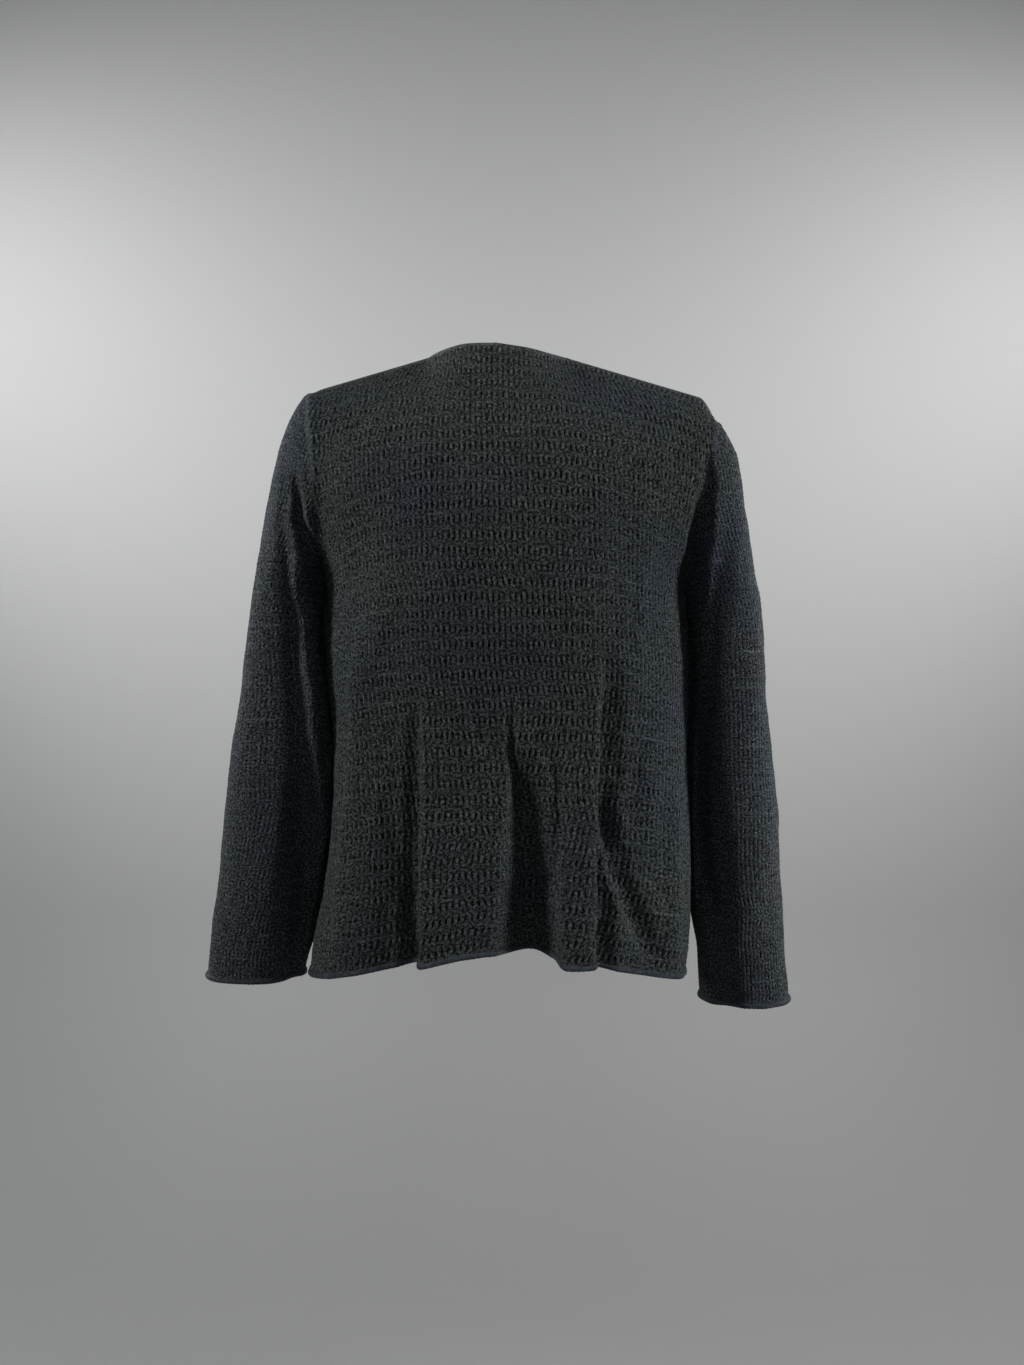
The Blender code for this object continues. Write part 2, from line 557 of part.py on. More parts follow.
def make_sleeve(side, colour):
    s, rows = ARMHOLE[side].side, SLEEVE[side]
    z_low, z_high = rows[0].z, rows[-1].z
    rings = [sleeve_ring(side, z) for z in np.linspace(z_low, z_high, 12)[:-1]]
    under = sleeve_ring(side, z_high)
    under[0] = under[-1] = arm_point(side, +1, 180)
    rings.append(under)
    joined = len(rings)
    rings += [cap_row(side, phi) for phi in CAP_PHI[1:]]
    top, _ = cap_top(side)
    rings.append(top)
    p = np.stack(rings)
    centre = p[:, : SLEEVE_COLS].mean(1, keepdims=True)
    n = grid_normals(p, p - centre)
    # rings close on themselves
    du = np.roll(p[:joined, :-1], -1, 1) - np.roll(p[:joined, :-1], 1, 1)
    dv = np.gradient(p, axis=0)[:joined, :-1]
    closed = unit(np.cross(du, dv))
    if (closed * (p - centre)[:joined, :-1]).sum() < 0:
        closed = -closed
    n[:joined, :-1], n[:joined, -1] = closed, closed[:, 0]
    for k, phi in enumerate(CAP_PHI):
        row = joined - 1 + k
        n[row, 0], n[row, -1] = arm_normal(side, +1, phi, -1), arm_normal(side, -1, phi, -1)
        if k:
            n[row, 1] = unit(n[row, 1] + 0.4 * n[row, 0])
            n[row, -2] = unit(n[row, -2] + 0.4 * n[row, -1])
    t = np.linspace(-CAP_PHI[-1], CAP_PHI[-1], SLEEVE_COLS + 1)
    n[-1] = [arm_normal(side, -1 if f > 0 else +1, abs(f), -1) for f in t]
    n[-2] = unit(n[-2] + 0.6 * n[-1])
    n[-2, 0], n[-2, -1] = arm_normal(side, +1, CAP_PHI[-1], -1), arm_normal(side, -1, CAP_PHI[-1], -1)
    shift = np.zeros_like(p)
    shift[joined - 1:, (0, -1), 0] = s * SEAM / 2
    shift[-1, :, 0] = s * SEAM / 2
    return wall("sleeve_" + side, p + shift, n, colour, joined_rows=joined), p, n


# -------------------------------------------------------------------- build
for ob in list(bpy.data.objects):
    bpy.data.objects.remove(ob, do_unlink=True)

ROOT = bpy.data.objects.new("garment", None)
bpy.context.scene.collection.objects.link(ROOT)

CHARCOAL = (0.021, 0.024, 0.028)
CHARCOAL_EDGE = (0.030, 0.034, 0.043)

# back: column 0 is the wearer's left side, the last column the right
back, back_n = body_panel([back_row(v) for v in V_ROWS], "back")
blend_edge(back_n, 1, 0, np.stack([side_normal("left", +1, v) for v in V_ROWS]))
blend_edge(back_n, 1, -1, np.stack([side_normal("right", +1, v) for v in V_ROWS]))
for j, x in enumerate(back[-1, :, 0]):
    seam = abs(x - NECK_SHIFT) >= NECK_X - 1e-6
    if seam:
        back_n[-1, j] = unit(np.array([0.22 * np.sign(x), 0.0, 1.0]))
        back_n[-2, j] = unit(back_n[-2, j] + 0.5 * back_n[-1, j])
        back[-1, j, 1] += SEAM / 2
for side, j in (("left", 0), ("right", -1)):
    s = ARMHOLE[side].side
    for i, v in enumerate(V_ROWS):
        if v >= UNDERARM_V:
            back[i, j, 0] -= s * SEAM / 2
            back_n[i, j] = arm_normal(side, +1, phi_of(v))
        if v <= UNDERARM_V + 1e-9:
            back[i, j, 1] += SEAM / 2
wall("back", back, back_n, CHARCOAL)
roll("hem_roll_back", back[0], back_n[0], CHARCOAL_EDGE)

for side in ("left", "right"):
    s = ARMHOLE[side].side
    front, front_n = body_panel([front_row(side, v) for v in V_ROWS], "front")
    blend_edge(front_n, 1, -1, np.stack([side_normal(side, -1, v) for v in V_ROWS]))
    front_n[-1] = unit(np.array([0.22 * s, 0.0, 1.0]))
    front_n[-2] = unit(front_n[-2] + 0.5 * front_n[-1])
    front[-1, :, 1] -= SEAM / 2
    for i, v in enumerate(V_ROWS):
        if v >= UNDERARM_V:
            front[i, -1, 0] -= s * SEAM / 2
            front_n[i, -1] = arm_normal(side, -1, phi_of(v))
        if v <= UNDERARM_V + 1e-9:
            front[i, -1, 1] -= SEAM / 2
    wall("front_" + side, front, front_n, CHARCOAL)
    roll("hem_roll_front_" + side, front[0], front_n[0], CHARCOAL_EDGE)
    _, p, n = make_sleeve(side, CHARCOAL)
    roll("cuff_roll_" + side, p[0, :-1], n[0, :-1], CHARCOAL_EDGE, closed=True)
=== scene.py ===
"""Looks of the openwork knit cardigan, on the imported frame. Each panel is a thin
shell on its solid's form, laid out in whole stitches: rows of tall eyelets
between twisted bars, with a denser band between the rows. Metres, +Z up, the
wearer faces -Y and the wearer's left is +X.
"""
from collections import namedtuple
from math import cos, sin, pi, radians

import bmesh
import bpy
import numpy as np
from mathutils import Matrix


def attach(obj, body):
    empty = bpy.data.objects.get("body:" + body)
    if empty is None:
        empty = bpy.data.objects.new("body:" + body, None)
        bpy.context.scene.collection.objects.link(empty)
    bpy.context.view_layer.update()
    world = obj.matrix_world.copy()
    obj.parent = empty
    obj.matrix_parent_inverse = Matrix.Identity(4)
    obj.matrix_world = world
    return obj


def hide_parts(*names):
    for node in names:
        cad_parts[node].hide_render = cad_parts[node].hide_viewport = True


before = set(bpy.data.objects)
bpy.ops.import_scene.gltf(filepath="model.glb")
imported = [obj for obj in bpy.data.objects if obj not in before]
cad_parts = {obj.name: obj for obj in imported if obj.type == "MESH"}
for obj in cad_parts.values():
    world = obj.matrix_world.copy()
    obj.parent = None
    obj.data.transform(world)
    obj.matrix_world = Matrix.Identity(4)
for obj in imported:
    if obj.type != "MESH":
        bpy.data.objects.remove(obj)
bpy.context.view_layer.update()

# ------------------------------------------------------------ driving sizes
SEAM = 0.0003
ROLL_R = 0.0026
ROLL_OUT = 0.0007
UNDERARM_V = 0.62
NECK_V = 0.84
NECK_X = 0.0635
NECK_SHIFT = 0.0045
NECK_SIDE_Z = 0.004
SHOULDER_TURN = {"left": 0.0020, "right": 0.0190}
NECK_BACK_Y, NECK_BACK_Z = 0.058, -0.001
FRONT_GAP_TOP, FRONT_GAP_HEM = 0.006, 0.020
DENSE = 201             # points along half a body section, before it is cut into stitches

# The stitch: wales run up, courses across, and a course is one row of tall
# narrow eyelets with the denser band above it. Each line of the mesh inside
# one stitch has its height as a share of the course, then for its four
# columns the shift across in wales and the relief in millimetres.
COLUMNS = (0.20, 0.40, 0.60, 0.80)
StitchLine = namedtuple("StitchLine", "up s0 s1 s2 s3 r0 r1 r2 r3")
BODY_STITCH = [
    StitchLine(0.100, +0.10, +0.08, +0.10, +0.08, +0.50, -0.80, +0.38, -0.76),
    StitchLine(0.250, +0.02, +0.05, -0.05, -0.02, +0.34, -0.50, -0.50, +0.34),
    StitchLine(0.420, -0.03, -0.01, +0.01, +0.03, +0.56, -1.24, -1.24, +0.56),
    StitchLine(0.590, -0.03, -0.01, +0.01, +0.03, +0.56, -1.24, -1.24, +0.56),
    StitchLine(0.750, +0.02, +0.05, -0.05, -0.02, +0.34, -0.46, -0.46, +0.34),
    StitchLine(0.905, -0.10, -0.08, -0.10, -0.08, -0.78, +0.44, -0.76, +0.50),
]
SLEEVE_STITCH = [
    StitchLine(0.080, +0.07, +0.06, +0.07, +0.06, +0.40, -0.62, +0.30, -0.58),
    StitchLine(0.230, +0.00, +0.05, -0.05, +0.00, +0.24, -0.45, -0.45, +0.24),
    StitchLine(0.390, -0.02, -0.01, +0.01, +0.02, +0.46, -1.05, -1.05, +0.46),
    StitchLine(0.550, +0.00, +0.05, -0.05, +0.00, +0.24, -0.45, -0.45, +0.24),
    StitchLine(0.700, -0.07, -0.06, -0.07, -0.06, -0.58, +0.40, -0.60, +0.38),
    StitchLine(0.860, +0.03, +0.02, -0.02, -0.03, +0.38, -0.75, -0.60, +0.38),
]
EYE_ROWS = {"body": (3,), "sleeve": ()}      # the face rows that open where the cloth is pulled
BACK_WALES, BACK_COURSES = 97, 42
NECK_REACH = 0.070      # the line up a front from which its wales are counted
FRONT_WALES, FRONT_COURSES = 47, 43
SLEEVE_WALES, SLEEVE_COURSES = 72, 52

# -------------------------------------------------------------- the armholes
Armhole = namedtuple("Armhole", "side tip_x tip_z under_x under_z y_back y_front bow")
ARMHOLE = {
    "left": Armhole(+1, 0.1765, -0.0300, 0.1630, -0.2140, 0.056, -0.056, +0.0040),
    "right": Armhole(-1, -0.1975, -0.0560, -0.1680, -0.2160, 0.050, -0.054, +0.0060),
}

# ------------------------------------------------------- body, row by row
BodyRow = namedtuple("BodyRow", "name v z_back z_side z_front x_left x_right y_side y_back y_front wrap round_n")
NeckPoint = namedtuple("NeckPoint", "share y z_left z_right")
NECK_EDGE = [
    NeckPoint(0.00, 0.0580, 0.0003, 0.0003), NeckPoint(0.40, 0.0487, 0.0024, -0.0008),
    NeckPoint(0.70, 0.0296, 0.0038, 0.0002), NeckPoint(0.90, 0.0115, 0.0042, 0.0022),
    NeckPoint(1.00, 0.0000, 0.0040, 0.0040),
]
BODY = [
    BodyRow("hem",       0.00, -0.5210, -0.5560, -0.5600, 0.1745, -0.1675, 0.002, 0.098, -0.112, 90, 2.35),
    BodyRow("low hip",   0.06, -0.4910, -0.5240, -0.5270, 0.1705, -0.1705, 0.002, 0.100, -0.114, 90, 2.35),
    BodyRow("hip",       0.14, -0.4510, -0.4800, -0.4820, 0.1610, -0.1725, 0.001, 0.102, -0.116, 90, 2.35),
    BodyRow("below waist", 0.24, -0.3990, -0.4240, -0.4250, 0.1550, -0.1715, 0.000, 0.103, -0.117, 90, 2.30),
    BodyRow("waist",     0.36, -0.3330, -0.3570, -0.3570, 0.1550, -0.1705, 0.000, 0.106, -0.119, 88, 2.25),
    BodyRow("ribs",      0.48, -0.2690, -0.2910, -0.2890, 0.1610, -0.1718, 0.000, 0.112, -0.123, 84, 2.20),
    BodyRow("chest",     0.56, -0.2250, -0.2480, -0.2420, 0.1645, -0.1715, 0.000, 0.116, -0.125, 80, 2.15),
    BodyRow("underarm",  0.62, -0.1930, -0.2140, -0.2070, 0.1630, -0.1680, 0.000, 0.117, -0.124, 76, 2.10),
    BodyRow("blades",    0.72, -0.1390, 0.0,     -0.1490, 0.0,    0.0,     0.000, 0.113, -0.112, 66, 2.05),
    BodyRow("shoulder",  0.84, -0.0770, 0.0,     -0.0830, 0.0,    0.0,     0.000, 0.098, -0.084, 58, 2.00),
    BodyRow("yoke",      0.93, -0.0320, 0.0,     0.0,     0.0,    0.0,     0.000, 0.077, 0.0,    54, 2.00),
    BodyRow("neck",      1.00, NECK_BACK_Z, 0.0, 0.0,     0.0,    0.0,     0.000, NECK_BACK_Y, 0.0, 52, 2.00),
]
LOWER = [r for r in BODY if r.v <= UNDERARM_V]
FRONT = [r for r in BODY if r.v <= NECK_V]

# ------------------------------------------------------------- body creases
# Each crease is followed downward. x is its middle, depth how far the cloth
# stands out (+) or in (-), plus and minus the reach of its slopes towards +X
# and -X, lean how far its crest rolls towards +X, and lift how far it draws
# the cloth up.
Crease = namedtuple("Crease", "z x depth plus minus lean lift")
BACK_CREASES = {
    "left hollow": [
        Crease(-0.290, 0.0820, 0.0000, 0.020, 0.012, 0, 0), Crease(-0.360, 0.0830, -0.0040, 0.032, 0.014, 0, 0),
        Crease(-0.450, 0.0850, -0.0080, 0.038, 0.016, 0, 0), Crease(-0.545, 0.0870, -0.0095, 0.040, 0.017, 0, 0),
    ],
    "left valley": [
        Crease(-0.296, 0.0716, 0.0000, 0.009, 0.0070, 0, 0), Crease(-0.330, 0.0714, -0.0042, 0.011, 0.0075, 0, 0),
        Crease(-0.382, 0.0712, -0.0084, 0.014, 0.0075, 0, 0), Crease(-0.430, 0.0718, -0.0122, 0.017, 0.0075, 0, 0),
        Crease(-0.482, 0.0722, -0.0150, 0.019, 0.0075, 0, 0), Crease(-0.545, 0.0730, -0.0160, 0.020, 0.0080, 0, 0),
    ],
    "left crest": [
        Crease(-0.285, 0.0618, 0.0000, 0.009, 0.022, 0, 0), Crease(-0.345, 0.0610, 0.0020, 0.009, 0.026, 0.0012, 0),
        Crease(-0.430, 0.0612, 0.0040, 0.009, 0.030, 0.0024, -0.0008), Crease(-0.545, 0.0622, 0.0056, 0.009, 0.032, 0.0030, -0.0030),
    ],
    "left slant": [
        Crease(-0.378, 0.1000, 0.0000, 0.010, 0.009, 0, 0), Crease(-0.405, 0.0955, -0.0016, 0.012, 0.010, 0, 0),
        Crease(-0.455, 0.0860, -0.0026, 0.013, 0.010, 0, 0), Crease(-0.500, 0.0800, -0.0014, 0.012, 0.010, 0, 0),
        Crease(-0.535, 0.0780, 0.0000, 0.011, 0.009, 0, 0),
    ],
    "middle slit": [
        Crease(-0.312, -0.0084, 0.0000, 0.007, 0.006, 0, 0), Crease(-0.336, -0.0094, -0.0046, 0.007, 0.005, 0, 0),
        Crease(-0.362, -0.0104, -0.0094, 0.007, 0.0055, 0, 0), Crease(-0.388, -0.0114, -0.0100, 0.008, 0.008, 0, 0),
        Crease(-0.420, -0.0130, -0.0060, 0.010, 0.010, 0, 0), Crease(-0.455, -0.0150, 0.0000, 0.012, 0.012, 0, 0),
    ],
    "middle trough": [
        Crease(-0.350, -0.0150, 0.0000, 0.011, 0.014, 0, 0), Crease(-0.385, -0.0190, -0.0110, 0.018, 0.022, 0, 0),
        Crease(-0.430, -0.0230, -0.0240, 0.026, 0.027, 0, 0), Crease(-0.480, -0.0265, -0.0340, 0.034, 0.028, 0, 0),
        Crease(-0.545, -0.0305, -0.0420, 0.042, 0.026, 0, 0),
    ],
    "lip": [
        Crease(-0.345, -0.0580, 0.0000, 0.012, 0.020, 0, 0), Crease(-0.400, -0.0590, 0.0034, 0.013, 0.020, 0.0012, 0),
        Crease(-0.470, -0.0590, 0.0070, 0.013, 0.020, 0.0040, -0.0010), Crease(-0.545, -0.0590, 0.0095, 0.013, 0.022, 0.0060, -0.0036),
    ],
    "lip line": [
        Crease(-0.306, -0.0180, 0.0000, 0.008, 0.008, 0, 0), Crease(-0.328, -0.0270, -0.0007, 0.010, 0.007, 0, 0),
        Crease(-0.352, -0.0395, -0.0018, 0.011, 0.006, 0, 0), Crease(-0.376, -0.0475, -0.0030, 0.011, 0.005, 0, 0),
        Crease(-0.412, -0.0488, -0.0030, 0.010, 0.005, 0, 0), Crease(-0.463, -0.0484, -0.0020, 0.009, 0.005, 0, 0),
        Crease(-0.505, -0.0480, 0.0000, 0.008, 0.005, 0, 0),
    ],
    "right crest": [
        Crease(-0.272, -0.0812, 0.0000, 0.014, 0.007, 0, 0), Crease(-0.306, -0.0794, 0.0026, 0.014, 0.007, -0.0008, 0),
        Crease(-0.370, -0.0770, 0.0044, 0.014, 0.007, -0.0022, 0), Crease(-0.450, -0.0746, 0.0054, 0.013, 0.007, -0.0028, 0),
        Crease(-0.545, -0.0736, 0.0060, 0.013, 0.007, -0.0028, 0),
    ],
    "right valley": [
        Crease(-0.270, -0.0910, 0.0000, 0.008, 0.016, 0, 0), Crease(-0.310, -0.0880, -0.0062, 0.0080, 0.019, 0, 0),
        Crease(-0.370, -0.0858, -0.0094, 0.0080, 0.023, 0, 0), Crease(-0.420, -0.0838, -0.0100, 0.0080, 0.020, 0, 0),
        Crease(-0.480, -0.0825, -0.0076, 0.0080, 0.017, 0, 0), Crease(-0.545, -0.0824, -0.0064, 0.0080, 0.017, 0, 0),
    ],
    "right slant": [
        Crease(-0.376, -0.0850, 0.0000, 0.008, 0.013, 0, 0), Crease(-0.411, -0.0890, -0.0044, 0.008, 0.015, 0, 0),
        Crease(-0.452, -0.0970, -0.0080, 0.009, 0.018, 0, 0), Crease(-0.488, -0.1095, -0.0084, 0.011, 0.018, 0, 0),
        Crease(-0.518, -0.1250, -0.0056, 0.013, 0.016, 0, 0), Crease(-0.545, -0.1400, 0.0000, 0.014, 0.014, 0, 0),
    ],
    "right hollow": [
        Crease(-0.300, -0.1080, 0.0000, 0.018, 0.018, 0, 0), Crease(-0.380, -0.1110, -0.0026, 0.020, 0.020, 0, 0),
        Crease(-0.470, -0.1160, -0.0034, 0.022, 0.022, 0, 0), Crease(-0.545, -0.1220, -0.0036, 0.024, 0.022, 0, 0),
    ],
    "left side ridge": [
        Crease(-0.255, 0.1235, 0.0000, 0.009, 0.016, 0, 0), Crease(-0.300, 0.1255, 0.0036, 0.009, 0.016, 0, 0),
        Crease(-0.380, 0.1290, 0.0046, 0.009, 0.018, 0, 0), Crease(-0.440, 0.1345, 0.0046, 0.010, 0.020, 0, 0),
        Crease(-0.496, 0.1400, 0.0044, 0.010, 0.022, 0, 0), Crease(-0.545, 0.1420, 0.0040, 0.010, 0.022, 0, 0),
    ],
    "right side ridge": [
        Crease(-0.375, -0.1500, 0.0000, 0.012, 0.010, 0, 0), Crease(-0.430, -0.1510, 0.0030, 0.013, 0.010, 0, 0),
        Crease(-0.545, -0.1530, 0.0038, 0.014, 0.010, 0, 0),
    ],
    "dimple": [
        Crease(-0.306, 0.0200, 0.0000, 0.009, 0.007, 0, 0), Crease(-0.322, 0.0185, -0.0030, 0.012, 0.008, 0, 0),
        Crease(-0.337, 0.0160, -0.0030, 0.012, 0.007, 0, 0), Crease(-0.356, 0.0130, 0.0000, 0.010, 0.007, 0, 0),
    ],
    "right rib line": [
        Crease(-0.180, -0.1120, 0.0000, 0.006, 0.007, 0, 0), Crease(-0.215, -0.1125, -0.0016, 0.007, 0.006, 0, 0),
        Crease(-0.255, -0.1110, -0.0012, 0.007, 0.006, 0, 0), Crease(-0.285, -0.1070, 0.0000, 0.008, 0.008, 0, 0),
    ],
    "blade hollow": [
        Crease(-0.080, -0.0180, 0.0000, 0.030, 0.034, 0, 0), Crease(-0.118, -0.0200, -0.0016, 0.036, 0.040, 0, 0),
        Crease(-0.160, -0.0220, 0.0000, 0.030, 0.034, 0, 0),
    ],
}
FRONT_CREASES = {
    "left trough": [
        Crease(-0.310, 0.0580, 0.0000, 0.018, 0.018, 0, 0), Crease(-0.420, 0.0640, -0.0070, 0.026, 0.020, 0, 0),
        Crease(-0.580, 0.0705, -0.0125, 0.031, 0.026, 0, 0.0020),
    ],
    "left ridge": [
        Crease(-0.290, 0.1060, 0.0000, 0.016, 0.022, 0, 0), Crease(-0.430, 0.1110, 0.0045, 0.020, 0.026, 0, 0),
        Crease(-0.580, 0.1165, 0.0070, 0.026, 0.030, 0, 0),
    ],
    "right trough": [
        Crease(-0.295, -0.0720, 0.0000, 0.020, 0.018, 0, 0), Crease(-0.430, -0.0765, -0.0064, 0.024, 0.021, 0, 0),
        Crease(-0.580, -0.0825, -0.0108, 0.030, 0.026, 0, 0.0020),
    ],
    "right ridge": [
        Crease(-0.350, -0.0290, 0.0000, 0.014, 0.018, 0, 0), Crease(-0.460, -0.0325, 0.0036, 0.018, 0.024, 0, 0),
        Crease(-0.580, -0.0365, 0.0062, 0.020, 0.028, 0, 0),
    ],
    "side trough": [
        Crease(-0.290, -0.1290, 0.0000, 0.014, 0.014, 0, 0), Crease(-0.440, -0.1330, -0.0042, 0.018, 0.017, 0, 0),
        Crease(-0.580, -0.1365, -0.0062, 0.020, 0.018, 0, 0),
    ],
}
# Valleys where sleeve and back fold into the armpit. Both panels follow them,
# so the seam between them stays closed.
PIT_CREASES = {
    "left": [
        Crease(-0.105, 0.1806, 0.0000, 0.005, 0.005, 0, 0), Crease(-0.128, 0.1800, -0.0060, 0.006, 0.006, 0, 0),
        Crease(-0.150, 0.1772, -0.0125, 0.008, 0.008, 0, 0), Crease(-0.172, 0.1712, -0.0170, 0.010, 0.009, 0, 0),
        Crease(-0.194, 0.1660, -0.0180, 0.011, 0.009, 0, 0), Crease(-0.225, 0.1618, -0.0130, 0.011, 0.008, 0, 0),
        Crease(-0.262, 0.1600, 0.0000, 0.010, 0.008, 0, 0),
    ],
    "right": [
        Crease(-0.088, -0.1818, 0.0000, 0.006, 0.008, 0, 0), Crease(-0.110, -0.1806, -0.0060, 0.007, 0.011, 0, 0),
        Crease(-0.135, -0.1766, -0.0115, 0.008, 0.014, 0, 0), Crease(-0.160, -0.1714, -0.0155, 0.008, 0.017, 0, 0),
        Crease(-0.190, -0.1670, -0.0150, 0.008, 0.018, 0, 0), Crease(-0.225, -0.1650, -0.0100, 0.008, 0.016, 0, 0),
        Crease(-0.262, -0.1650, 0.0000, 0.008, 0.014, 0, 0),
    ],
}

# ------------------------------------------------------------------ sleeves
SleeveRow = namedtuple("SleeveRow", "name z x_in x_out y_mid half_y square")
SLEEVE = {
    "left": [
        SleeveRow("cuff",      -0.5640, 0.1845, 0.2735, -0.012, 0.0370, 2.15),
        SleeveRow("wrist",     -0.5150, 0.1770, 0.2672, -0.010, 0.0390, 2.15),
        SleeveRow("forearm",   -0.4650, 0.1670, 0.2608, -0.008, 0.0420, 2.15),
        SleeveRow("mid arm",   -0.4150, 0.1600, 0.2545, -0.005, 0.0450, 2.15),
        SleeveRow("elbow",     -0.3650, 0.1595, 0.2476, -0.002, 0.0480, 2.20),
        SleeveRow("above elbow", -0.3150, 0.1640, 0.2408, 0.000, 0.0500, 2.20),
        SleeveRow("upper arm", -0.2650, 0.1690, 0.2345, 0.000, 0.0525, 2.20),
        SleeveRow("underarm",  -0.2140, 0.1632, 0.2275, 0.000, 0.0545, 2.20),
    ],
    "right": [
        SleeveRow("cuff",      -0.5860, 0.1850, 0.2665, -0.012, 0.0370, 2.15),
        SleeveRow("wrist",     -0.5350, 0.1820, 0.2615, -0.010, 0.0395, 2.15),
        SleeveRow("forearm",   -0.4850, 0.1790, 0.2580, -0.008, 0.0430, 2.20),
        SleeveRow("mid arm",   -0.4300, 0.1770, 0.2548, -0.005, 0.0460, 2.25),
        SleeveRow("elbow",     -0.3750, 0.1765, 0.2478, -0.002, 0.0490, 2.30),
        SleeveRow("above elbow", -0.3200, 0.1765, 0.2422, 0.000, 0.0515, 2.30),
        SleeveRow("upper arm", -0.2680, 0.1765, 0.2382, 0.000, 0.0530, 2.30),
        SleeveRow("underarm",  -0.2160, 0.1682, 0.2335, 0.000, 0.0540, 2.30),
    ],
}
CapRow = namedtuple("CapRow", "z x_out half_y")
CAP = {
    "left": [
        CapRow(-0.2140, 0.2275, 0.0545), CapRow(-0.1700, 0.2205, 0.0555),
        CapRow(-0.1300, 0.2140, 0.0550), CapRow(-0.0950, 0.2060, 0.0500),
        CapRow(-0.0650, 0.1970, 0.0400), CapRow(-0.0450, 0.1885, 0.0270),
        CapRow(-0.0300, 0.1785, 0.0060),
    ],
    "right": [
        CapRow(-0.2160, 0.2335, 0.0540), CapRow(-0.1800, 0.2285, 0.0545),
        CapRow(-0.1450, 0.2235, 0.0525), CapRow(-0.1150, 0.2195, 0.0470),
        CapRow(-0.0900, 0.2150, 0.0385), CapRow(-0.0720, 0.2070, 0.0260),
        CapRow(-0.0560, 0.1990, 0.0060),
    ],
}
# Broad folds, by the angle round the arm: outer side 0, back 90, inner side
# 180, front negative.
FoldAt = namedtuple("FoldAt", "z angle depth wide")
SLEEVE_FOLDS = {
    ("left", "back crease"): [
        FoldAt(-0.085, 60, 0.0, 18), FoldAt(-0.125, 66, -0.0030, 18), FoldAt(-0.165, 75, -0.0040, 18),
        FoldAt(-0.205, 94, -0.0045, 18), FoldAt(-0.250, 116, -0.0040, 18), FoldAt(-0.330, 116, -0.0040, 18),
        FoldAt(-0.430, 119, -0.0050, 20), FoldAt(-0.480, 136, -0.0050, 22), FoldAt(-0.564, 148, -0.0040, 22),
    ],
    ("left", "inner ridge"): [
        FoldAt(-0.214, 138, 0.0, 22), FoldAt(-0.250, 145, 0.0080, 24), FoldAt(-0.310, 146, 0.0120, 26),
        FoldAt(-0.380, 149, 0.0110, 26), FoldAt(-0.450, 153, 0.0050, 24), FoldAt(-0.510, 160, 0.0, 20),
    ],
    ("left", "inner front"): [
        FoldAt(-0.214, -145, 0.0, 30), FoldAt(-0.240, -145, 0.0060, 30), FoldAt(-0.310, -145, 0.0090, 32),
        FoldAt(-0.400, -148, 0.0080, 32), FoldAt(-0.480, -152, 0.0085, 30), FoldAt(-0.525, -155, 0.0075, 30),
        FoldAt(-0.558, -158, 0.0, 30),
    ],
    ("left", "front crease"): [
        FoldAt(-0.250, -60, 0.0, 22), FoldAt(-0.340, -72, -0.0070, 22), FoldAt(-0.564, -92, -0.0070, 22),
    ],
    ("right", "back crease"): [
        FoldAt(-0.140, 66, 0.0, 18), FoldAt(-0.175, 82, -0.0030, 20), FoldAt(-0.235, 116, -0.0040, 22),
        FoldAt(-0.300, 140, -0.0040, 24), FoldAt(-0.400, 152, -0.0060, 28), FoldAt(-0.470, 146, -0.0070, 28),
        FoldAt(-0.520, 128, -0.0070, 24), FoldAt(-0.586, 120, -0.0060, 24),
    ],
    ("right", "inner front"): [
        FoldAt(-0.216, -150, 0.0, 30), FoldAt(-0.240, -150, 0.0060, 30), FoldAt(-0.310, -150, 0.0080, 32),
        FoldAt(-0.450, -150, 0.0080, 32), FoldAt(-0.500, -152, 0.0070, 30), FoldAt(-0.545, -155, 0.0, 30),
    ],
    ("right", "front crease"): [
        FoldAt(-0.240, -70, 0.0, 22), FoldAt(-0.340, -82, -0.0065, 22), FoldAt(-0.586, -104, -0.0065, 22),
    ],
}
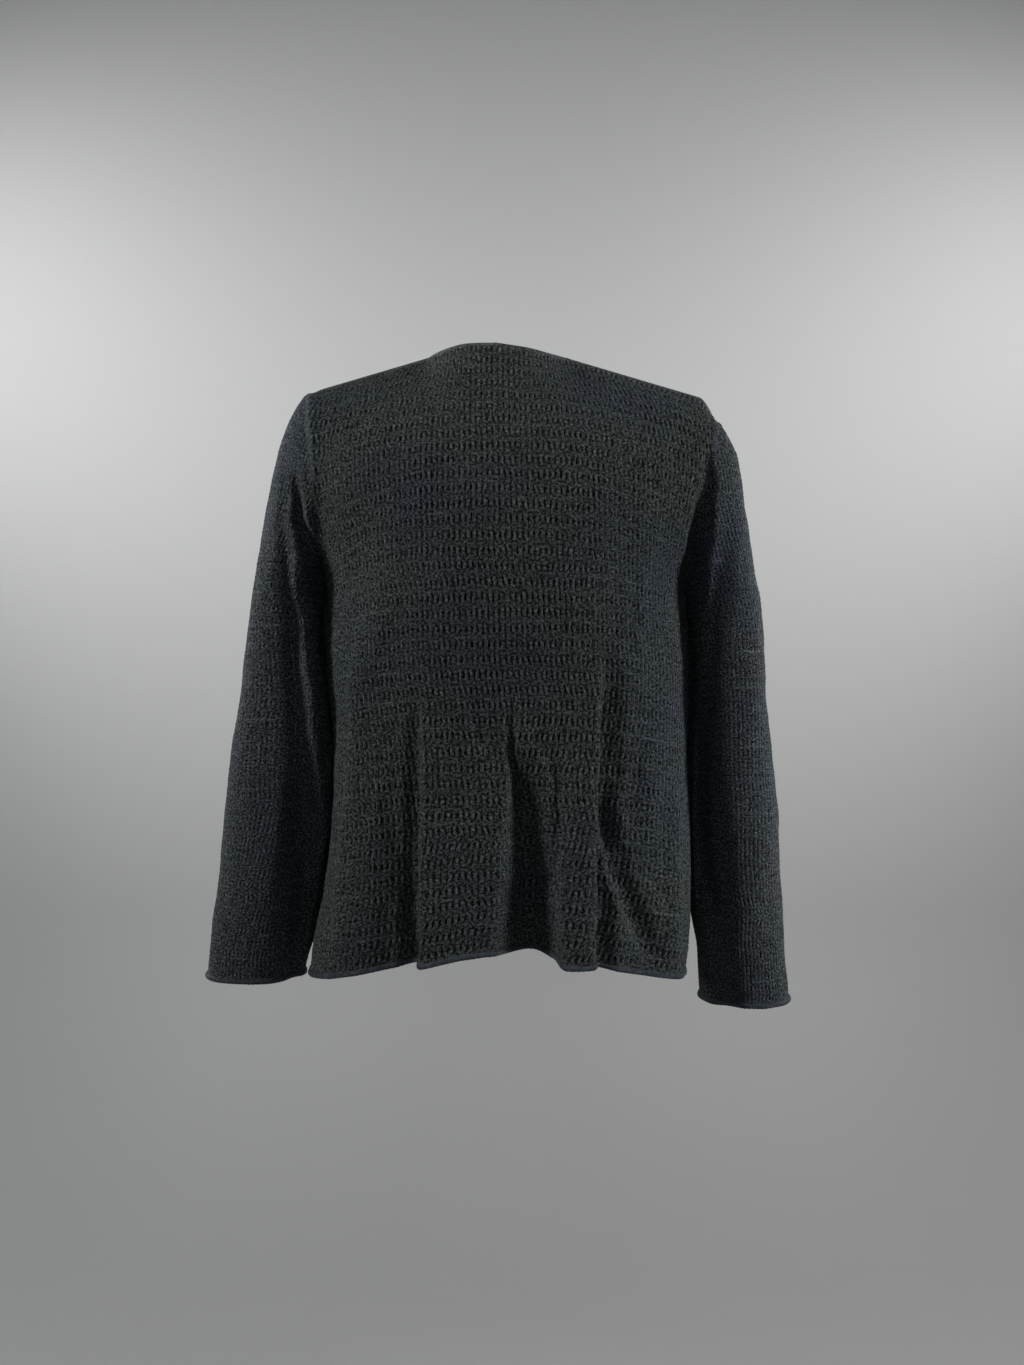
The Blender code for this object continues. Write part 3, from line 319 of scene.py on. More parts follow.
# Sharp creases down the back of the arms. x is the distance from the wearer's
# middle plane, plus the slope on the outer side.
ARM_CREASES = {
    "left": {
        "fold line": [
            Crease(-0.080, 0.1895, 0.0000, 0.004, 0.005, 0, 0), Crease(-0.119, 0.1928, -0.0012, 0.006, 0.006, 0, 0),
            Crease(-0.1455, 0.1928, -0.0018, 0.007, 0.007, 0, 0), Crease(-0.1786, 0.1897, -0.0022, 0.008, 0.008, 0, 0),
            Crease(-0.2218, 0.1864, -0.0026, 0.010, 0.008, 0, 0), Crease(-0.2571, 0.1842, -0.0030, 0.012, 0.009, 0, 0),
            Crease(-0.2969, 0.1800, -0.0040, 0.014, 0.011, 0, 0), Crease(-0.3384, 0.1772, -0.0060, 0.017, 0.014, 0, 0),
            Crease(-0.3870, 0.1760, -0.0110, 0.020, 0.018, 0, 0), Crease(-0.4355, 0.1760, -0.0170, 0.026, 0.022, 0, 0),
            Crease(-0.4885, 0.1785, -0.0190, 0.029, 0.024, 0, 0), Crease(-0.5326, 0.1830, -0.0130, 0.028, 0.022, 0, 0),
            Crease(-0.566, 0.1880, -0.0040, 0.022, 0.018, 0, 0),
        ],
        "inner roll": [
            Crease(-0.130, 0.1860, 0.0000, 0.008, 0.010, 0, 0), Crease(-0.165, 0.1826, 0.0020, 0.010, 0.010, 0, 0),
            Crease(-0.210, 0.1764, 0.0030, 0.012, 0.010, 0, 0), Crease(-0.250, 0.1742, 0.0034, 0.012, 0.010, 0, 0),
            Crease(-0.300, 0.1704, 0.0034, 0.012, 0.010, 0, 0), Crease(-0.350, 0.1680, 0.0024, 0.012, 0.010, 0, 0),
            Crease(-0.400, 0.1670, 0.0000, 0.012, 0.009, 0, 0),
        ],
        "inner hollow": [
            Crease(-0.215, 0.1600, 0.0000, 0.008, 0.010, 0, 0), Crease(-0.250, 0.1600, -0.0100, 0.009, 0.010, 0, 0),
            Crease(-0.300, 0.1565, -0.0140, 0.009, 0.010, 0, 0), Crease(-0.350, 0.1535, -0.0140, 0.009, 0.010, 0, 0),
            Crease(-0.420, 0.1540, -0.0080, 0.009, 0.010, 0, 0), Crease(-0.470, 0.1560, 0.0000, 0.009, 0.010, 0, 0),
        ],
    },
    "right": {
        "slack crease": [
            Crease(-0.128, 0.2040, 0.0000, 0.012, 0.012, 0, 0), Crease(-0.150, 0.2030, -0.0014, 0.013, 0.013, 0, 0),
            Crease(-0.175, 0.1990, -0.0024, 0.013, 0.014, 0, 0), Crease(-0.209, 0.1950, -0.0028, 0.013, 0.014, 0, 0),
            Crease(-0.245, 0.1915, -0.0022, 0.013, 0.014, 0, 0), Crease(-0.300, 0.1890, 0.0000, 0.012, 0.012, 0, 0),
        ],
        "low fold": [
            Crease(-0.255, 0.1800, 0.0000, 0.016, 0.014, 0, 0), Crease(-0.310, 0.1790, -0.0052, 0.018, 0.014, 0, 0),
            Crease(-0.360, 0.1790, -0.0090, 0.021, 0.014, 0, 0), Crease(-0.410, 0.1795, -0.0130, 0.027, 0.014, 0, 0),
            Crease(-0.450, 0.1805, -0.0152, 0.031, 0.014, 0, 0), Crease(-0.490, 0.1840, -0.0140, 0.030, 0.016, 0, 0),
            Crease(-0.520, 0.1885, -0.0096, 0.026, 0.016, 0, 0), Crease(-0.560, 0.1925, -0.0040, 0.020, 0.016, 0, 0),
            Crease(-0.588, 0.1940, -0.0010, 0.018, 0.016, 0, 0),
        ],
    },
}


# ------------------------------------------------------------------ helpers
def column(rows, name, at, key="v"):
    """A smooth curve through one column of a table, with no overshoot."""
    xs = np.array([getattr(r, key) for r in rows], float)
    ys = np.array([getattr(r, name) for r in rows], float)
    if xs[0] > xs[-1]:
        xs, ys = xs[::-1], ys[::-1]
    h, slope = np.diff(xs), np.diff(ys) / np.diff(xs)
    m = np.zeros(len(xs))
    for k in range(1, len(xs) - 1):
        if slope[k - 1] * slope[k] > 0:
            w1, w2 = 2 * h[k] + h[k - 1], h[k] + 2 * h[k - 1]
            m[k] = (w1 + w2) / (w1 / slope[k - 1] + w2 / slope[k])
    m[0], m[-1] = slope[0], slope[-1]
    at = np.clip(np.asarray(at, float), xs[0], xs[-1])
    k = np.clip(np.searchsorted(xs, at) - 1, 0, len(h) - 1)
    t = (at - xs[k]) / h[k]
    return (ys[k] * (1 + 2 * t) * (1 - t) ** 2 + m[k] * h[k] * t * (1 - t) ** 2
            + ys[k + 1] * t * t * (3 - 2 * t) + m[k + 1] * h[k] * t * t * (t - 1))


def ease(t):
    t = np.clip(t, 0, 1)
    return t * t * (3 - 2 * t)


def bump(t):
    t = np.clip(np.abs(t), 0, 1)
    return (1 - t * t) ** 2


def unit(v):
    return v / np.maximum(np.linalg.norm(v, axis=-1, keepdims=True), 1e-12)


def arm_point(side, half, phi):
    """A point of the armhole; half is +1 on the back and -1 on the front."""
    a = ARMHOLE[side]
    c, s = cos(radians(phi)), sin(radians(phi))
    x = a.under_x + (a.tip_x - a.under_x) * (1 + c) / 2 - a.side * a.bow * s * s
    y = a.y_back * s * (1 - 0.22 * ease((phi - 90) / 60)) if half > 0 else a.y_front * s
    z = (a.tip_z + a.under_z) / 2 + (a.tip_z - a.under_z) / 2 * c
    return np.array([x, y, z])


def arm_table(side, half):
    """How far round the armhole each angle lies, from the underarm up."""
    phi = np.linspace(180, 0, 361)
    p = np.stack([arm_point(side, half, f) for f in phi])
    d = np.concatenate([[0], np.cumsum(np.linalg.norm(np.diff(p, axis=0), axis=1))])
    return d / d[-1], phi


ARM_TABLE = {(side, half): arm_table(side, half) for side in ARMHOLE for half in (+1, -1)}


def side_point(side, half, v):
    """The panel's outer edge: side seam below the underarm, armhole above."""
    if v >= UNDERARM_V:
        share, phi = ARM_TABLE[side, half]
        return arm_point(side, half, float(np.interp((v - UNDERARM_V) / (1 - UNDERARM_V), share, phi)))
    return np.array([float(column(LOWER, "x_" + side, v)), float(column(LOWER, "y_side", v)),
                     float(column(LOWER, "z_side", v))])


def arc(inner, outer, wrap, round_n, droop=1.5, count=DENSE):
    """Half a body section from the middle to the side."""
    a = np.linspace(0, 1, count) * radians(min(wrap, 89.99))
    sx, cx = np.sin(a) ** (2 / round_n), np.cos(a) ** (2 / round_n)
    fx, fy = sx / sx[-1], (cx - cx[-1]) / (1 - cx[-1])
    x = inner[0] + (outer[0] - inner[0]) * fx
    y = outer[1] + (inner[1] - outer[1]) * fy
    z = inner[2] + (outer[2] - inner[2]) * fx ** droop
    return np.stack([x, y, z], 1)


def lengths(points):
    return np.concatenate([[0], np.cumsum(np.linalg.norm(np.diff(points, axis=0), axis=1))])


def spaced(points, shares):
    """Points along a dense line at the given shares of its length."""
    d = lengths(points)
    at = np.asarray(shares) * d[-1]
    return np.stack([np.interp(at, d, points[:, k]) for k in range(3)], 1)


def shoulder_z(x, side):
    a = ARMHOLE[side]
    neck = NECK_SHIFT + a.side * NECK_X
    t = np.clip((x - neck) / (a.tip_x - neck), 0, 1)
    turn = SHOULDER_TURN[side]
    return NECK_SIDE_Z + (a.tip_z + turn - NECK_SIDE_Z) * t - turn * np.clip((t - 0.89) / 0.11, 0, 1) ** 1.7


def neck_front(side, q):
    s = ARMHOLE[side].side
    row = float(column(FRONT, "y_front", NECK_V)), float(column(FRONT, "z_front", NECK_V))
    x0 = NECK_SHIFT + s * FRONT_GAP_TOP
    x1 = NECK_SHIFT + s * NECK_X
    a = q * pi / 2
    return np.array([x0 + (x1 - x0) * sin(a), row[0] * cos(a) ** 0.9,
                     row[1] + (NECK_SIDE_Z - row[1]) * (1 - cos(a))])


EVEN = np.linspace(0, 1, DENSE)


def back_half(side, v):
    mid = np.array([NECK_SHIFT * ease((v - 0.5) / 0.5), float(column(BODY, "y_back", v)),
                    float(column(BODY, "z_back", v))])
    dense = arc(mid, side_point(side, +1, v), float(column(BODY, "wrap", v)),
                float(column(BODY, "round_n", v)), 1.5 + 2.2 * ease(v / 0.35))
    return spaced(dense, EVEN)


def back_top(side):
    s, tip = ARMHOLE[side].side, arm_point(side, +1, 0)
    t = np.sin(np.linspace(0, pi / 2, 90))
    neck = np.stack([NECK_SHIFT + s * NECK_X * t, column(NECK_EDGE, "y", t, "share"),
                     column(NECK_EDGE, "z_" + side, t, "share")], 1)
    x = np.linspace(neck[-1, 0], tip[0], 200)[1:]
    seam = np.stack([x, np.zeros_like(x), shoulder_z(x, side)], 1)
    return spaced(np.concatenate([neck, seam]), EVEN)


def relax(p, weight, rounds):
    """Evens out a grid of points as cloth would, with its edges held."""
    p = p.copy()
    for _ in range(rounds):
        mean = (p[:-2, 1:-1] + p[2:, 1:-1] + p[1:-1, :-2] + p[1:-1, 2:]) / 4
        p[1:-1, 1:-1] += weight[1:-1, None, None] * (mean - p[1:-1, 1:-1])
    return p


def back_rows(levels):
    """Dense rows of the back, from the wearer's left to the right."""
    top = {side: back_top(side) - back_half(side, 1.0) for side in ARMHOLE}
    rows = []
    for v in levels:
        lift = ease((v - 0.80) / 0.20)
        left, right = (back_half(side, v) + lift * top[side] for side in ("left", "right"))
        rows.append(np.concatenate([left[::-1], right[1:]]))
    return np.stack(rows)


def front_rows(side, levels):
    """Dense rows of a front, from its middle edge to the side."""
    s = ARMHOLE[side].side

    def plain(v):
        if v <= NECK_V:
            gap = FRONT_GAP_HEM + (FRONT_GAP_TOP - FRONT_GAP_HEM) * (v / NECK_V)
            inner = np.array([NECK_SHIFT * ease(v / NECK_V) + s * gap, float(column(FRONT, "y_front", v)),
                              float(column(FRONT, "z_front", v))])
        else:
            inner = neck_front(side, (v - NECK_V) / (1 - NECK_V))
        return spaced(arc(inner, side_point(side, -1, v), float(column(BODY, "wrap", v)),
                          float(column(BODY, "round_n", v))), EVEN)

    top = plain(1.0)
    line = top.copy()
    line[:, 2] = shoulder_z(top[:, 0], side)
    return np.stack([plain(v) + ease((v - 0.80) / 0.20) * (line - top) for v in levels])


def normals(p, away):
    du, dv = np.gradient(p, axis=1), np.gradient(p, axis=0)
    n = unit(np.cross(du, dv))
    if (n * away).sum() < 0:
        n = -n
    return n


def follow(rows, x, z):
    """Where a place is across a crease (-1 to 1), and the crease's sizes there."""
    lo, hi = min(r.z for r in rows), max(r.z for r in rows)
    mid, depth, plus, minus, lean, lift = (column(rows, c, z, "z") for c in
                                           ("x", "depth", "plus", "minus", "lean", "lift"))
    phase = 900 * abs(rows[-1].x)
    t = x - mid - 0.0008 * np.sin(z * 105 + phase) - 0.0005 * np.sin(z * 231 + 2 * phase)
    t = np.where(t > 0, t / plus, t / minus)
    inside = (z <= hi) & (z >= lo - 0.02)
    return t, depth * inside, lean * inside, lift * inside


def crease_body(p, creases, flat):
    """Moves a dense body panel along its creases."""
    out, lean, rise = (np.zeros(p.shape[:2]) for _ in range(3))
    for rows in creases.values():
        t, depth, side, lift = follow(rows, p[..., 0], p[..., 2])
        b = bump(t)
        out += depth * b
        lean += side * b
        rise += lift * b
    return out, lean, rise


def pit(p, side):
    """How far the armpit valley draws a place inwards, along Y."""
    t, depth, _, _ = follow(PIT_CREASES[side], p[..., 0], p[..., 2])
    return depth * bump(t) ** 0.8 * ease(p[..., 1] / 0.012)


def soft_waves(seed, count, reach, size):
    """A few long waves with fixed random directions, for the cloth's slack."""
    rng = np.random.default_rng(seed)
    k = rng.normal(size=(count, 3)) * np.array([1.0, 0.6, 0.75]) * (2 * pi / reach)
    phase = rng.uniform(0, 2 * pi, count)
    amp = rng.uniform(0.5, 1.0, count)
    amp *= size / np.sqrt((amp ** 2).sum() / 2)

    def at(p):
        return (np.sin(p @ k.T + phase) * amp).sum(-1)
    return at


def lines(count, inside):
    """Mesh lines for a number of stitches: both ends, and those inside each."""
    return np.concatenate([[0.0], (np.arange(count)[:, None] + np.array(inside)).ravel(), [float(count)]])


# ----------------------------------------------------------------- stitches
def stitch_pattern(stitch, cols, rows, wales, courses, seed, pulled=None):
    """For each vertex of a panel its shift across in wales and its relief in
    metres, and for each face whether it is kept. pulled(col, row) is how far
    the cloth is stretched, 0 to 1; past a half the eyelet opens."""
    rng = np.random.default_rng(seed)
    kc, kr = np.round(cols % 1, 6), np.round(rows % 1, 6)
    ci = np.clip(np.floor(cols), 0, wales - 1).astype(int)
    ri = np.clip(np.floor(rows), 0, courses - 1).astype(int)
    shape = (len(rows), len(cols))
    shift, relief = np.zeros(shape), np.zeros(shape)
    mid_c, mid_r = np.arange(wales)[None, :] + 0.5, np.arange(courses)[:, None] + 0.5
    pull = np.zeros((courses, wales)) if pulled is None else pulled(mid_c, mid_r) * np.ones((courses, wales))
    pull = pull + rng.normal(0, 0.10, pull.shape) * (pull > 0.05)
    depth = np.clip(rng.normal(1, 0.22, pull.shape), 0.4, 1.5)
    lean = rng.normal(0, 0.060, pull.shape)
    lean = lean + 0.20 * np.sin(mid_c * 0.31 + 1.3 * np.sin(mid_r * 0.45)) * np.sin(mid_r * 0.60 + seed)
    bobble = np.clip(rng.normal(1, 0.45, (courses, wales, 4)), 0.1, 2.2)
    wide = rng.normal(0, 0.020, pull.shape) + 0.045 * np.clip(pull, 0, 1)
    ups = [line.up for line in stitch]
    for i, fr in enumerate(kr):
        if not np.isclose(ups, fr).any():
            continue
        line = stitch[int(np.argmin(np.abs(np.array(ups) - fr)))]
        eyelet = min(line.r1, line.r2) < -0.45
        for c, at in enumerate(COLUMNS):
            here = np.isclose(kc, at)
            cells = (ri[i], ci[here])
            s, r = line[1 + c], line[5 + c] / 1000
            if c in (1, 2) and eyelet:
                s = s + (-1 if c == 1 else 1) * wide[cells]
                r = r * depth[cells]
            elif not eyelet:
                r = r * bobble[cells][:, c]
            shift[i, here] = s + lean[cells] * (fr - 0.5)
            relief[i, here] = r
    relief += rng.normal(0, 0.00010, shape)
    shift += rng.normal(0, 0.022, shape)
    rise = rng.normal(0, 0.00022, shape)
    c, r = cols[None, :], rows[:, None]
    rise += 0.0005 * np.sin(c * 0.23 + r * 1.10 + seed) + 0.0006 * np.sin(c * 0.087 - r * 0.41 + 2 * seed)
    fc, fr = (cols[:-1] + cols[1:]) / 2, (rows[:-1] + rows[1:]) / 2
    eyes = EYE_ROWS["body" if stitch is BODY_STITCH else "sleeve"]
    in_col = (fc % 1 > COLUMNS[1]) & (fc % 1 < COLUMNS[2])
    in_row = np.isin(np.searchsorted(np.array(ups), fr % 1) - 1, eyes)
    open_cell = (pull > 0.5)[np.clip(np.floor(fr), 0, courses - 1).astype(int)[:, None],
                             np.clip(np.floor(fc), 0, wales - 1).astype(int)[None, :]]
    keep = ~(in_row[:, None] & in_col[None, :] & open_cell)
    # the outermost lines stay where they are, so that seams meet
    edge = np.minimum(np.minimum(cols, wales - cols)[None, :], np.minimum(rows, courses - rows)[:, None])
    fade = ease(edge / 0.6)
    return shift * fade, relief * fade, rise * fade, keep


def edge_ridge(at_edge, rows):
    """The line of small loops along a sewn edge."""
    return 0.00055 * bump((at_edge - 0.0016) / 0.0022) * (0.55 + 0.45 * np.sin(rows * 4 * pi))[:, None]


# ------------------------------------------------------------------- meshes
def shell(name, grid, uv, stitch, sewn, keep, material, away):
    """A single-layer shell from a grid, with its flat layout, its stitch
    coordinates and the weight of the painted highlight along its sewn edges.
    Corners that fall together are merged."""
    rows, cols = grid.shape[:2]
    index = np.arange(rows * cols).reshape(rows, cols)
    quads = np.stack([index[:-1, :-1], index[:-1, 1:], index[1:, 1:], index[1:, :-1]], -1)[keep]
    p = grid.reshape(-1, 3)
    a, b, c, d = (p[quads[:, k]] for k in range(4))
    cross = np.cross(c - a, d - b)
    area = np.linalg.norm(cross, axis=1)
    quads, cross, area = quads[area > 2e-9], cross[area > 2e-9], area[area > 2e-9]
    if (cross * away.reshape(-1, 3)[quads[:, 0]]).sum() < 0:
        quads = quads[:, ::-1]
    mesh = bpy.data.meshes.new(name)
    mesh.vertices.add(len(p))
    mesh.vertices.foreach_set("co", p.astype(np.float32).ravel())
    mesh.loops.add(quads.size)
    mesh.loops.foreach_set("vertex_index", quads.astype(np.int32).ravel())
    mesh.polygons.add(len(quads))
    mesh.polygons.foreach_set("loop_start", np.arange(0, quads.size, 4, dtype=np.int32))
    for title, values in (("OFBake", uv), ("stitch", stitch)):
        layer = mesh.uv_layers.new(name=title)
        layer.uv.foreach_set("vector", values.reshape(-1, 2)[quads.ravel()].astype(np.float32).ravel())
    mesh.attributes.new("sewn", "FLOAT", "POINT").data.foreach_set("value", sewn.astype(np.float32).ravel())
    mesh.update(calc_edges=True)
    bm = bmesh.new()
    bm.from_mesh(mesh)
    bmesh.ops.remove_doubles(bm, verts=bm.verts, dist=2e-6)
    bmesh.ops.dissolve_degenerate(bm, edges=bm.edges, dist=1e-6)
    bmesh.ops.delete(bm, geom=[v for v in bm.verts if not v.link_faces], context="VERTS")
    bm.to_mesh(mesh)
    bm.free()
    mesh.polygons.foreach_set("use_smooth", np.ones(len(mesh.polygons), bool))
    mesh.update()
    mesh.materials.append(material)
    ob = bpy.data.objects.new(name, mesh)
    bpy.context.scene.collection.objects.link(ob)
    return ob


def rolled_edge(name, edge, n, material, closed, pitch, seed):
    """The knit's own roll: a tube of fine ridges, one for each wale."""
    middle = edge - n * 0.0008
    if closed:
        along = unit(np.roll(middle, -1, 0) - np.roll(middle, 1, 0))
    else:
        along = unit(np.gradient(middle, axis=0))
    down = unit(np.cross(along, n))
    down *= np.where(down[:, 2:3] > 0, -1, 1)
    out = unit(n - (n * along).sum(1, keepdims=True) * along)
    count, sides = len(middle), 12
    s = lengths(middle)
    wave = soft_waves(seed, 5, 0.045, 1.0)(middle)
    radius = ROLL_R * (0.93 + 0.06 * wave)
    centre = middle + down * (ROLL_R - 0.0005) + out * ROLL_OUT
    turn = np.arange(sides) / sides * 2 * pi
    ridge = 1 + 0.075 * np.cos(2 * pi * s / pitch)[:, None] * (0.6 + 0.4 * np.cos(turn)[None, :])
    r = radius[:, None] * ridge
    grid = (centre[:, None] + r[..., None] * (np.cos(turn)[None, :, None] * out[:, None] + np.sin(turn)[None, :, None] * down[:, None]))
    verts = grid.reshape(-1, 3)
    faces, uvs = [], []
    last = count if closed else count - 1
    total = s[-1] + (np.linalg.norm(middle[0] - middle[-1]) if closed else 0)
    along_u = np.append(s, total) / total
    for i in range(last):
        j = (i + 1) % count
        for k in range(sides):
            m = (k + 1) % sides
            faces.append((i * sides + k, i * sides + m, j * sides + m, j * sides + k))
            u0, u1, w0, w1 = along_u[i], along_u[i + 1], k / sides, (k + 1) / sides
            uvs += [(u0, w0), (u0, w1), (u1, w1), (u1, w0)]
    if not closed:
        faces += [tuple(range(sides)), tuple(range((count - 1) * sides, count * sides))[::-1]]
        uvs += [(0.001 * cos(t), 0.5 + 0.2 * sin(t)) for t in turn] + [(1 - 0.001 * cos(t), 0.5 + 0.2 * sin(t)) for t in turn[::-1]]
    mesh = bpy.data.meshes.new(name)
    mesh.from_pydata([tuple(v) for v in verts], [], faces)
    layer = mesh.uv_layers.new(name="OFBake")
    layer.uv.foreach_set("vector", np.array(uvs, np.float32).ravel())
    bm = bmesh.new()
    bm.from_mesh(mesh)
    bmesh.ops.recalc_face_normals(bm, faces=bm.faces)
    bm.to_mesh(mesh)
    bm.free()
    mesh.polygons.foreach_set("use_smooth", np.ones(len(mesh.polygons), bool))
    mesh.update()
    mesh.materials.append(material)
    ob = bpy.data.objects.new(name, mesh)
    bpy.context.scene.collection.objects.link(ob)
    return ob


# ---------------------------------------------------------------- materials
def knit_material(name, dark, light, tint, eyelet_shade, eye_foot, eye_head):
    """Matte yarn: a two-ply twist on the bars, heathered fibres, a slow drift
    of tone over the panel, painted shade down in the eyelets, as dark as the
    fourth argument says, a painted highlight along the bars, and a painted
    highlight along the sewn edges."""
    mat = bpy.data.materials.new(name)
    mat.use_nodes = True
    nodes, links = mat.node_tree.nodes, mat.node_tree.links
    shader = nodes["Principled BSDF"]
    shader.inputs["Roughness"].default_value = 0.88
    shader.inputs["Specular IOR Level"].default_value = 0.07
    shader.inputs["Sheen Weight"].default_value = 0.04
    shader.inputs["Sheen Roughness"].default_value = 0.45
    shader.inputs["Sheen Tint"].default_value = (0.75, 0.80, 0.92, 1)

    def node(kind, **values):
        n = nodes.new(kind)
        for key, value in values.items():
            setattr(n, key, value)
        return n

    def math(op, a, b=None, clamp=False):
        n = node("ShaderNodeMath", operation=op, use_clamp=clamp)
        for k, x in enumerate((a, b)):
            if x is None:
                continue
            if isinstance(x, (int, float)):
                n.inputs[k].default_value = x
            else:
                links.new(x, n.inputs[k])
        return n.outputs[0]

    uv = node("ShaderNodeUVMap", uv_map="stitch")
    split = node("ShaderNodeSeparateXYZ")
    links.new(uv.outputs[0], split.inputs[0])
    across, up = split.outputs[0], split.outputs[1]
    place = node("ShaderNodeTexCoord").outputs["Object"]

    # ply twist: stripes that climb each bar
    climb = math("ADD", math("MULTIPLY", up, 9.0), math("MULTIPLY", math("PINGPONG", across, 0.5), 5.0))
    twist = math("SINE", math("MULTIPLY", climb, 2 * pi))
    fuzz = node("ShaderNodeTexNoise", noise_dimensions="3D")
    fuzz.inputs["Scale"].default_value = 1500.0
    fuzz.inputs["Detail"].default_value = 3.0
    links.new(place, fuzz.inputs["Vector"])
    heather = node("ShaderNodeTexNoise", noise_dimensions="3D")
    heather.inputs["Scale"].default_value = 420.0
    heather.inputs["Detail"].default_value = 2.0
    links.new(place, heather.inputs["Vector"])
    drift = node("ShaderNodeTexNoise", noise_dimensions="3D")
    drift.inputs["Scale"].default_value = 9.0
    drift.inputs["Detail"].default_value = 1.5
    links.new(place, drift.inputs["Vector"])

    height = math("ADD", math("MULTIPLY", twist, 0.16), math("MULTIPLY", fuzz.outputs[0], 0.9))
    nub = node("ShaderNodeBump")
    nub.inputs["Strength"].default_value = 0.55
    nub.inputs["Distance"].default_value = 0.0004
    links.new(height, nub.inputs["Height"])
    links.new(nub.outputs[0], shader.inputs["Normal"])

    mix = node("ShaderNodeMix", data_type="RGBA")
    mix.inputs[6].default_value = (*dark, 1)
    mix.inputs[7].default_value = (*light, 1)
    level = math("ADD", math("MULTIPLY", math("SUBTRACT", heather.outputs[0], 0.5), 2.2),
                 math("ADD", math("MULTIPLY", twist, 0.08), 0.45), clamp=True)
    links.new(level, mix.inputs[0])
    hue = node("ShaderNodeMix", data_type="RGBA")
    hue.blend_type = "MIX"
    hue.inputs[7].default_value = (*tint, 1)
    links.new(mix.outputs[2], hue.inputs[6])
    links.new(math("MULTIPLY", math("SUBTRACT", drift.outputs[0], 0.46), 2.6, clamp=True), hue.inputs[0])
    # painted shade darkens the yarn down in the eyelets and a painted highlight
    # lightens it along the bars, and each strand has its own tone
    from_bar = math("PINGPONG", across, 0.5)
    in_gap = math("MULTIPLY", math("SUBTRACT", from_bar, 0.31), 10.0, clamp=True)
    course = math("FRACT", up)
    in_eye = math("MULTIPLY", math("MULTIPLY", math("SUBTRACT", course, eye_foot), 14.0, clamp=True),
                  math("MULTIPLY", math("SUBTRACT", eye_head, course), 14.0, clamp=True))
    scale = node("ShaderNodeVectorMath", operation="MULTIPLY")
    scale.inputs[1].default_value = (2.4, 6.0, 1.0)
    links.new(uv.outputs[0], scale.inputs[0])
    strand = node("ShaderNodeTexNoise", noise_dimensions="3D")
    strand.inputs["Scale"].default_value = 1.0
    strand.inputs["Detail"].default_value = 1.0
    links.new(scale.outputs[0], strand.inputs["Vector"])
    tone = math("ADD", 0.22, math("MULTIPLY", math("MULTIPLY", math("SUBTRACT", strand.outputs[0], 0.38), 4.2, clamp=True), 1.45))
    # painted highlight: the yarn is lighter along the middle of each bar
    bar_highlight = math("MULTIPLY", in_eye, math("SUBTRACT", 1.0, math("MULTIPLY", from_bar, 3.2), clamp=True))
    between = math("SUBTRACT", 1.0, math("MULTIPLY", math("PINGPONG", math("ADD", up, 0.03), 0.5), 9.0), clamp=True)
    loose = node("ShaderNodeTexNoise", noise_dimensions="3D")
    loose.inputs["Scale"].default_value = 1.0
    loose.inputs["Detail"].default_value = 1.0
    long = node("ShaderNodeVectorMath", operation="MULTIPLY")
    long.inputs[1].default_value = (0.10, 0.85, 1.0)
    links.new(uv.outputs[0], long.inputs[0])
    links.new(long.outputs[0], loose.inputs["Vector"])
    thread = math("MULTIPLY", between, math("MULTIPLY", math("SUBTRACT", loose.outputs[0], 0.52), 7.0, clamp=True))
    gain = math("MULTIPLY", tone, math("ADD", math("ADD", 0.90, math("MULTIPLY", bar_highlight, 0.50)), math("MULTIPLY", thread, 0.60)))
    lit = node("ShaderNodeVectorMath", operation="SCALE")
    links.new(hue.outputs[2], lit.inputs[0])
    links.new(gain, lit.inputs["Scale"])
    shade = node("ShaderNodeMix", data_type="RGBA")
    shade.inputs[7].default_value = (dark[0] * 0.2, dark[1] * 0.2, dark[2] * 0.2, 1)
    links.new(lit.outputs[0], shade.inputs[6])
    # the painted shade is not as dark in any two eyelets, and it fades over whole patches
    cell = node("ShaderNodeVectorMath", operation="FLOOR")
    links.new(uv.outputs[0], cell.inputs[0])
    chance = node("ShaderNodeTexWhiteNoise", noise_dimensions="3D")
    links.new(cell.outputs[0], chance.inputs["Vector"])
    patch = node("ShaderNodeTexNoise", noise_dimensions="3D")
    patch.inputs["Scale"].default_value = 22.0
    patch.inputs["Detail"].default_value = 1.0
    links.new(place, patch.inputs["Vector"])
    eyelet = math("MULTIPLY", math("ADD", 0.35, math("MULTIPLY", chance.outputs["Value"], 0.65)),
                  math("ADD", 0.45, math("MULTIPLY", math("SUBTRACT", patch.outputs[0], 0.38), 3.0, clamp=True)))
    links.new(math("MULTIPLY", math("MULTIPLY", math("MULTIPLY", in_gap, in_eye), eyelet_shade), eyelet, clamp=True),
              shade.inputs[0])
    # painted highlight along the sewn edges
    sewn = node("ShaderNodeAttribute", attribute_name="sewn")
    seam_highlight_level = math("MULTIPLY", sewn.outputs["Fac"], math("ADD", 0.35, math("PINGPONG", math("MULTIPLY", up, 2.0), 0.5)))
    seam_highlight = node("ShaderNodeMix", data_type="RGBA")
    seam_highlight.inputs[7].default_value = (light[0] * 2.4, light[1] * 2.4, light[2] * 2.5, 1)
    links.new(shade.outputs[2], seam_highlight.inputs[6])
    links.new(math("MULTIPLY", seam_highlight_level, 0.45, clamp=True), seam_highlight.inputs[0])
    links.new(seam_highlight.outputs[2], shader.inputs["Base Color"])
    return mat


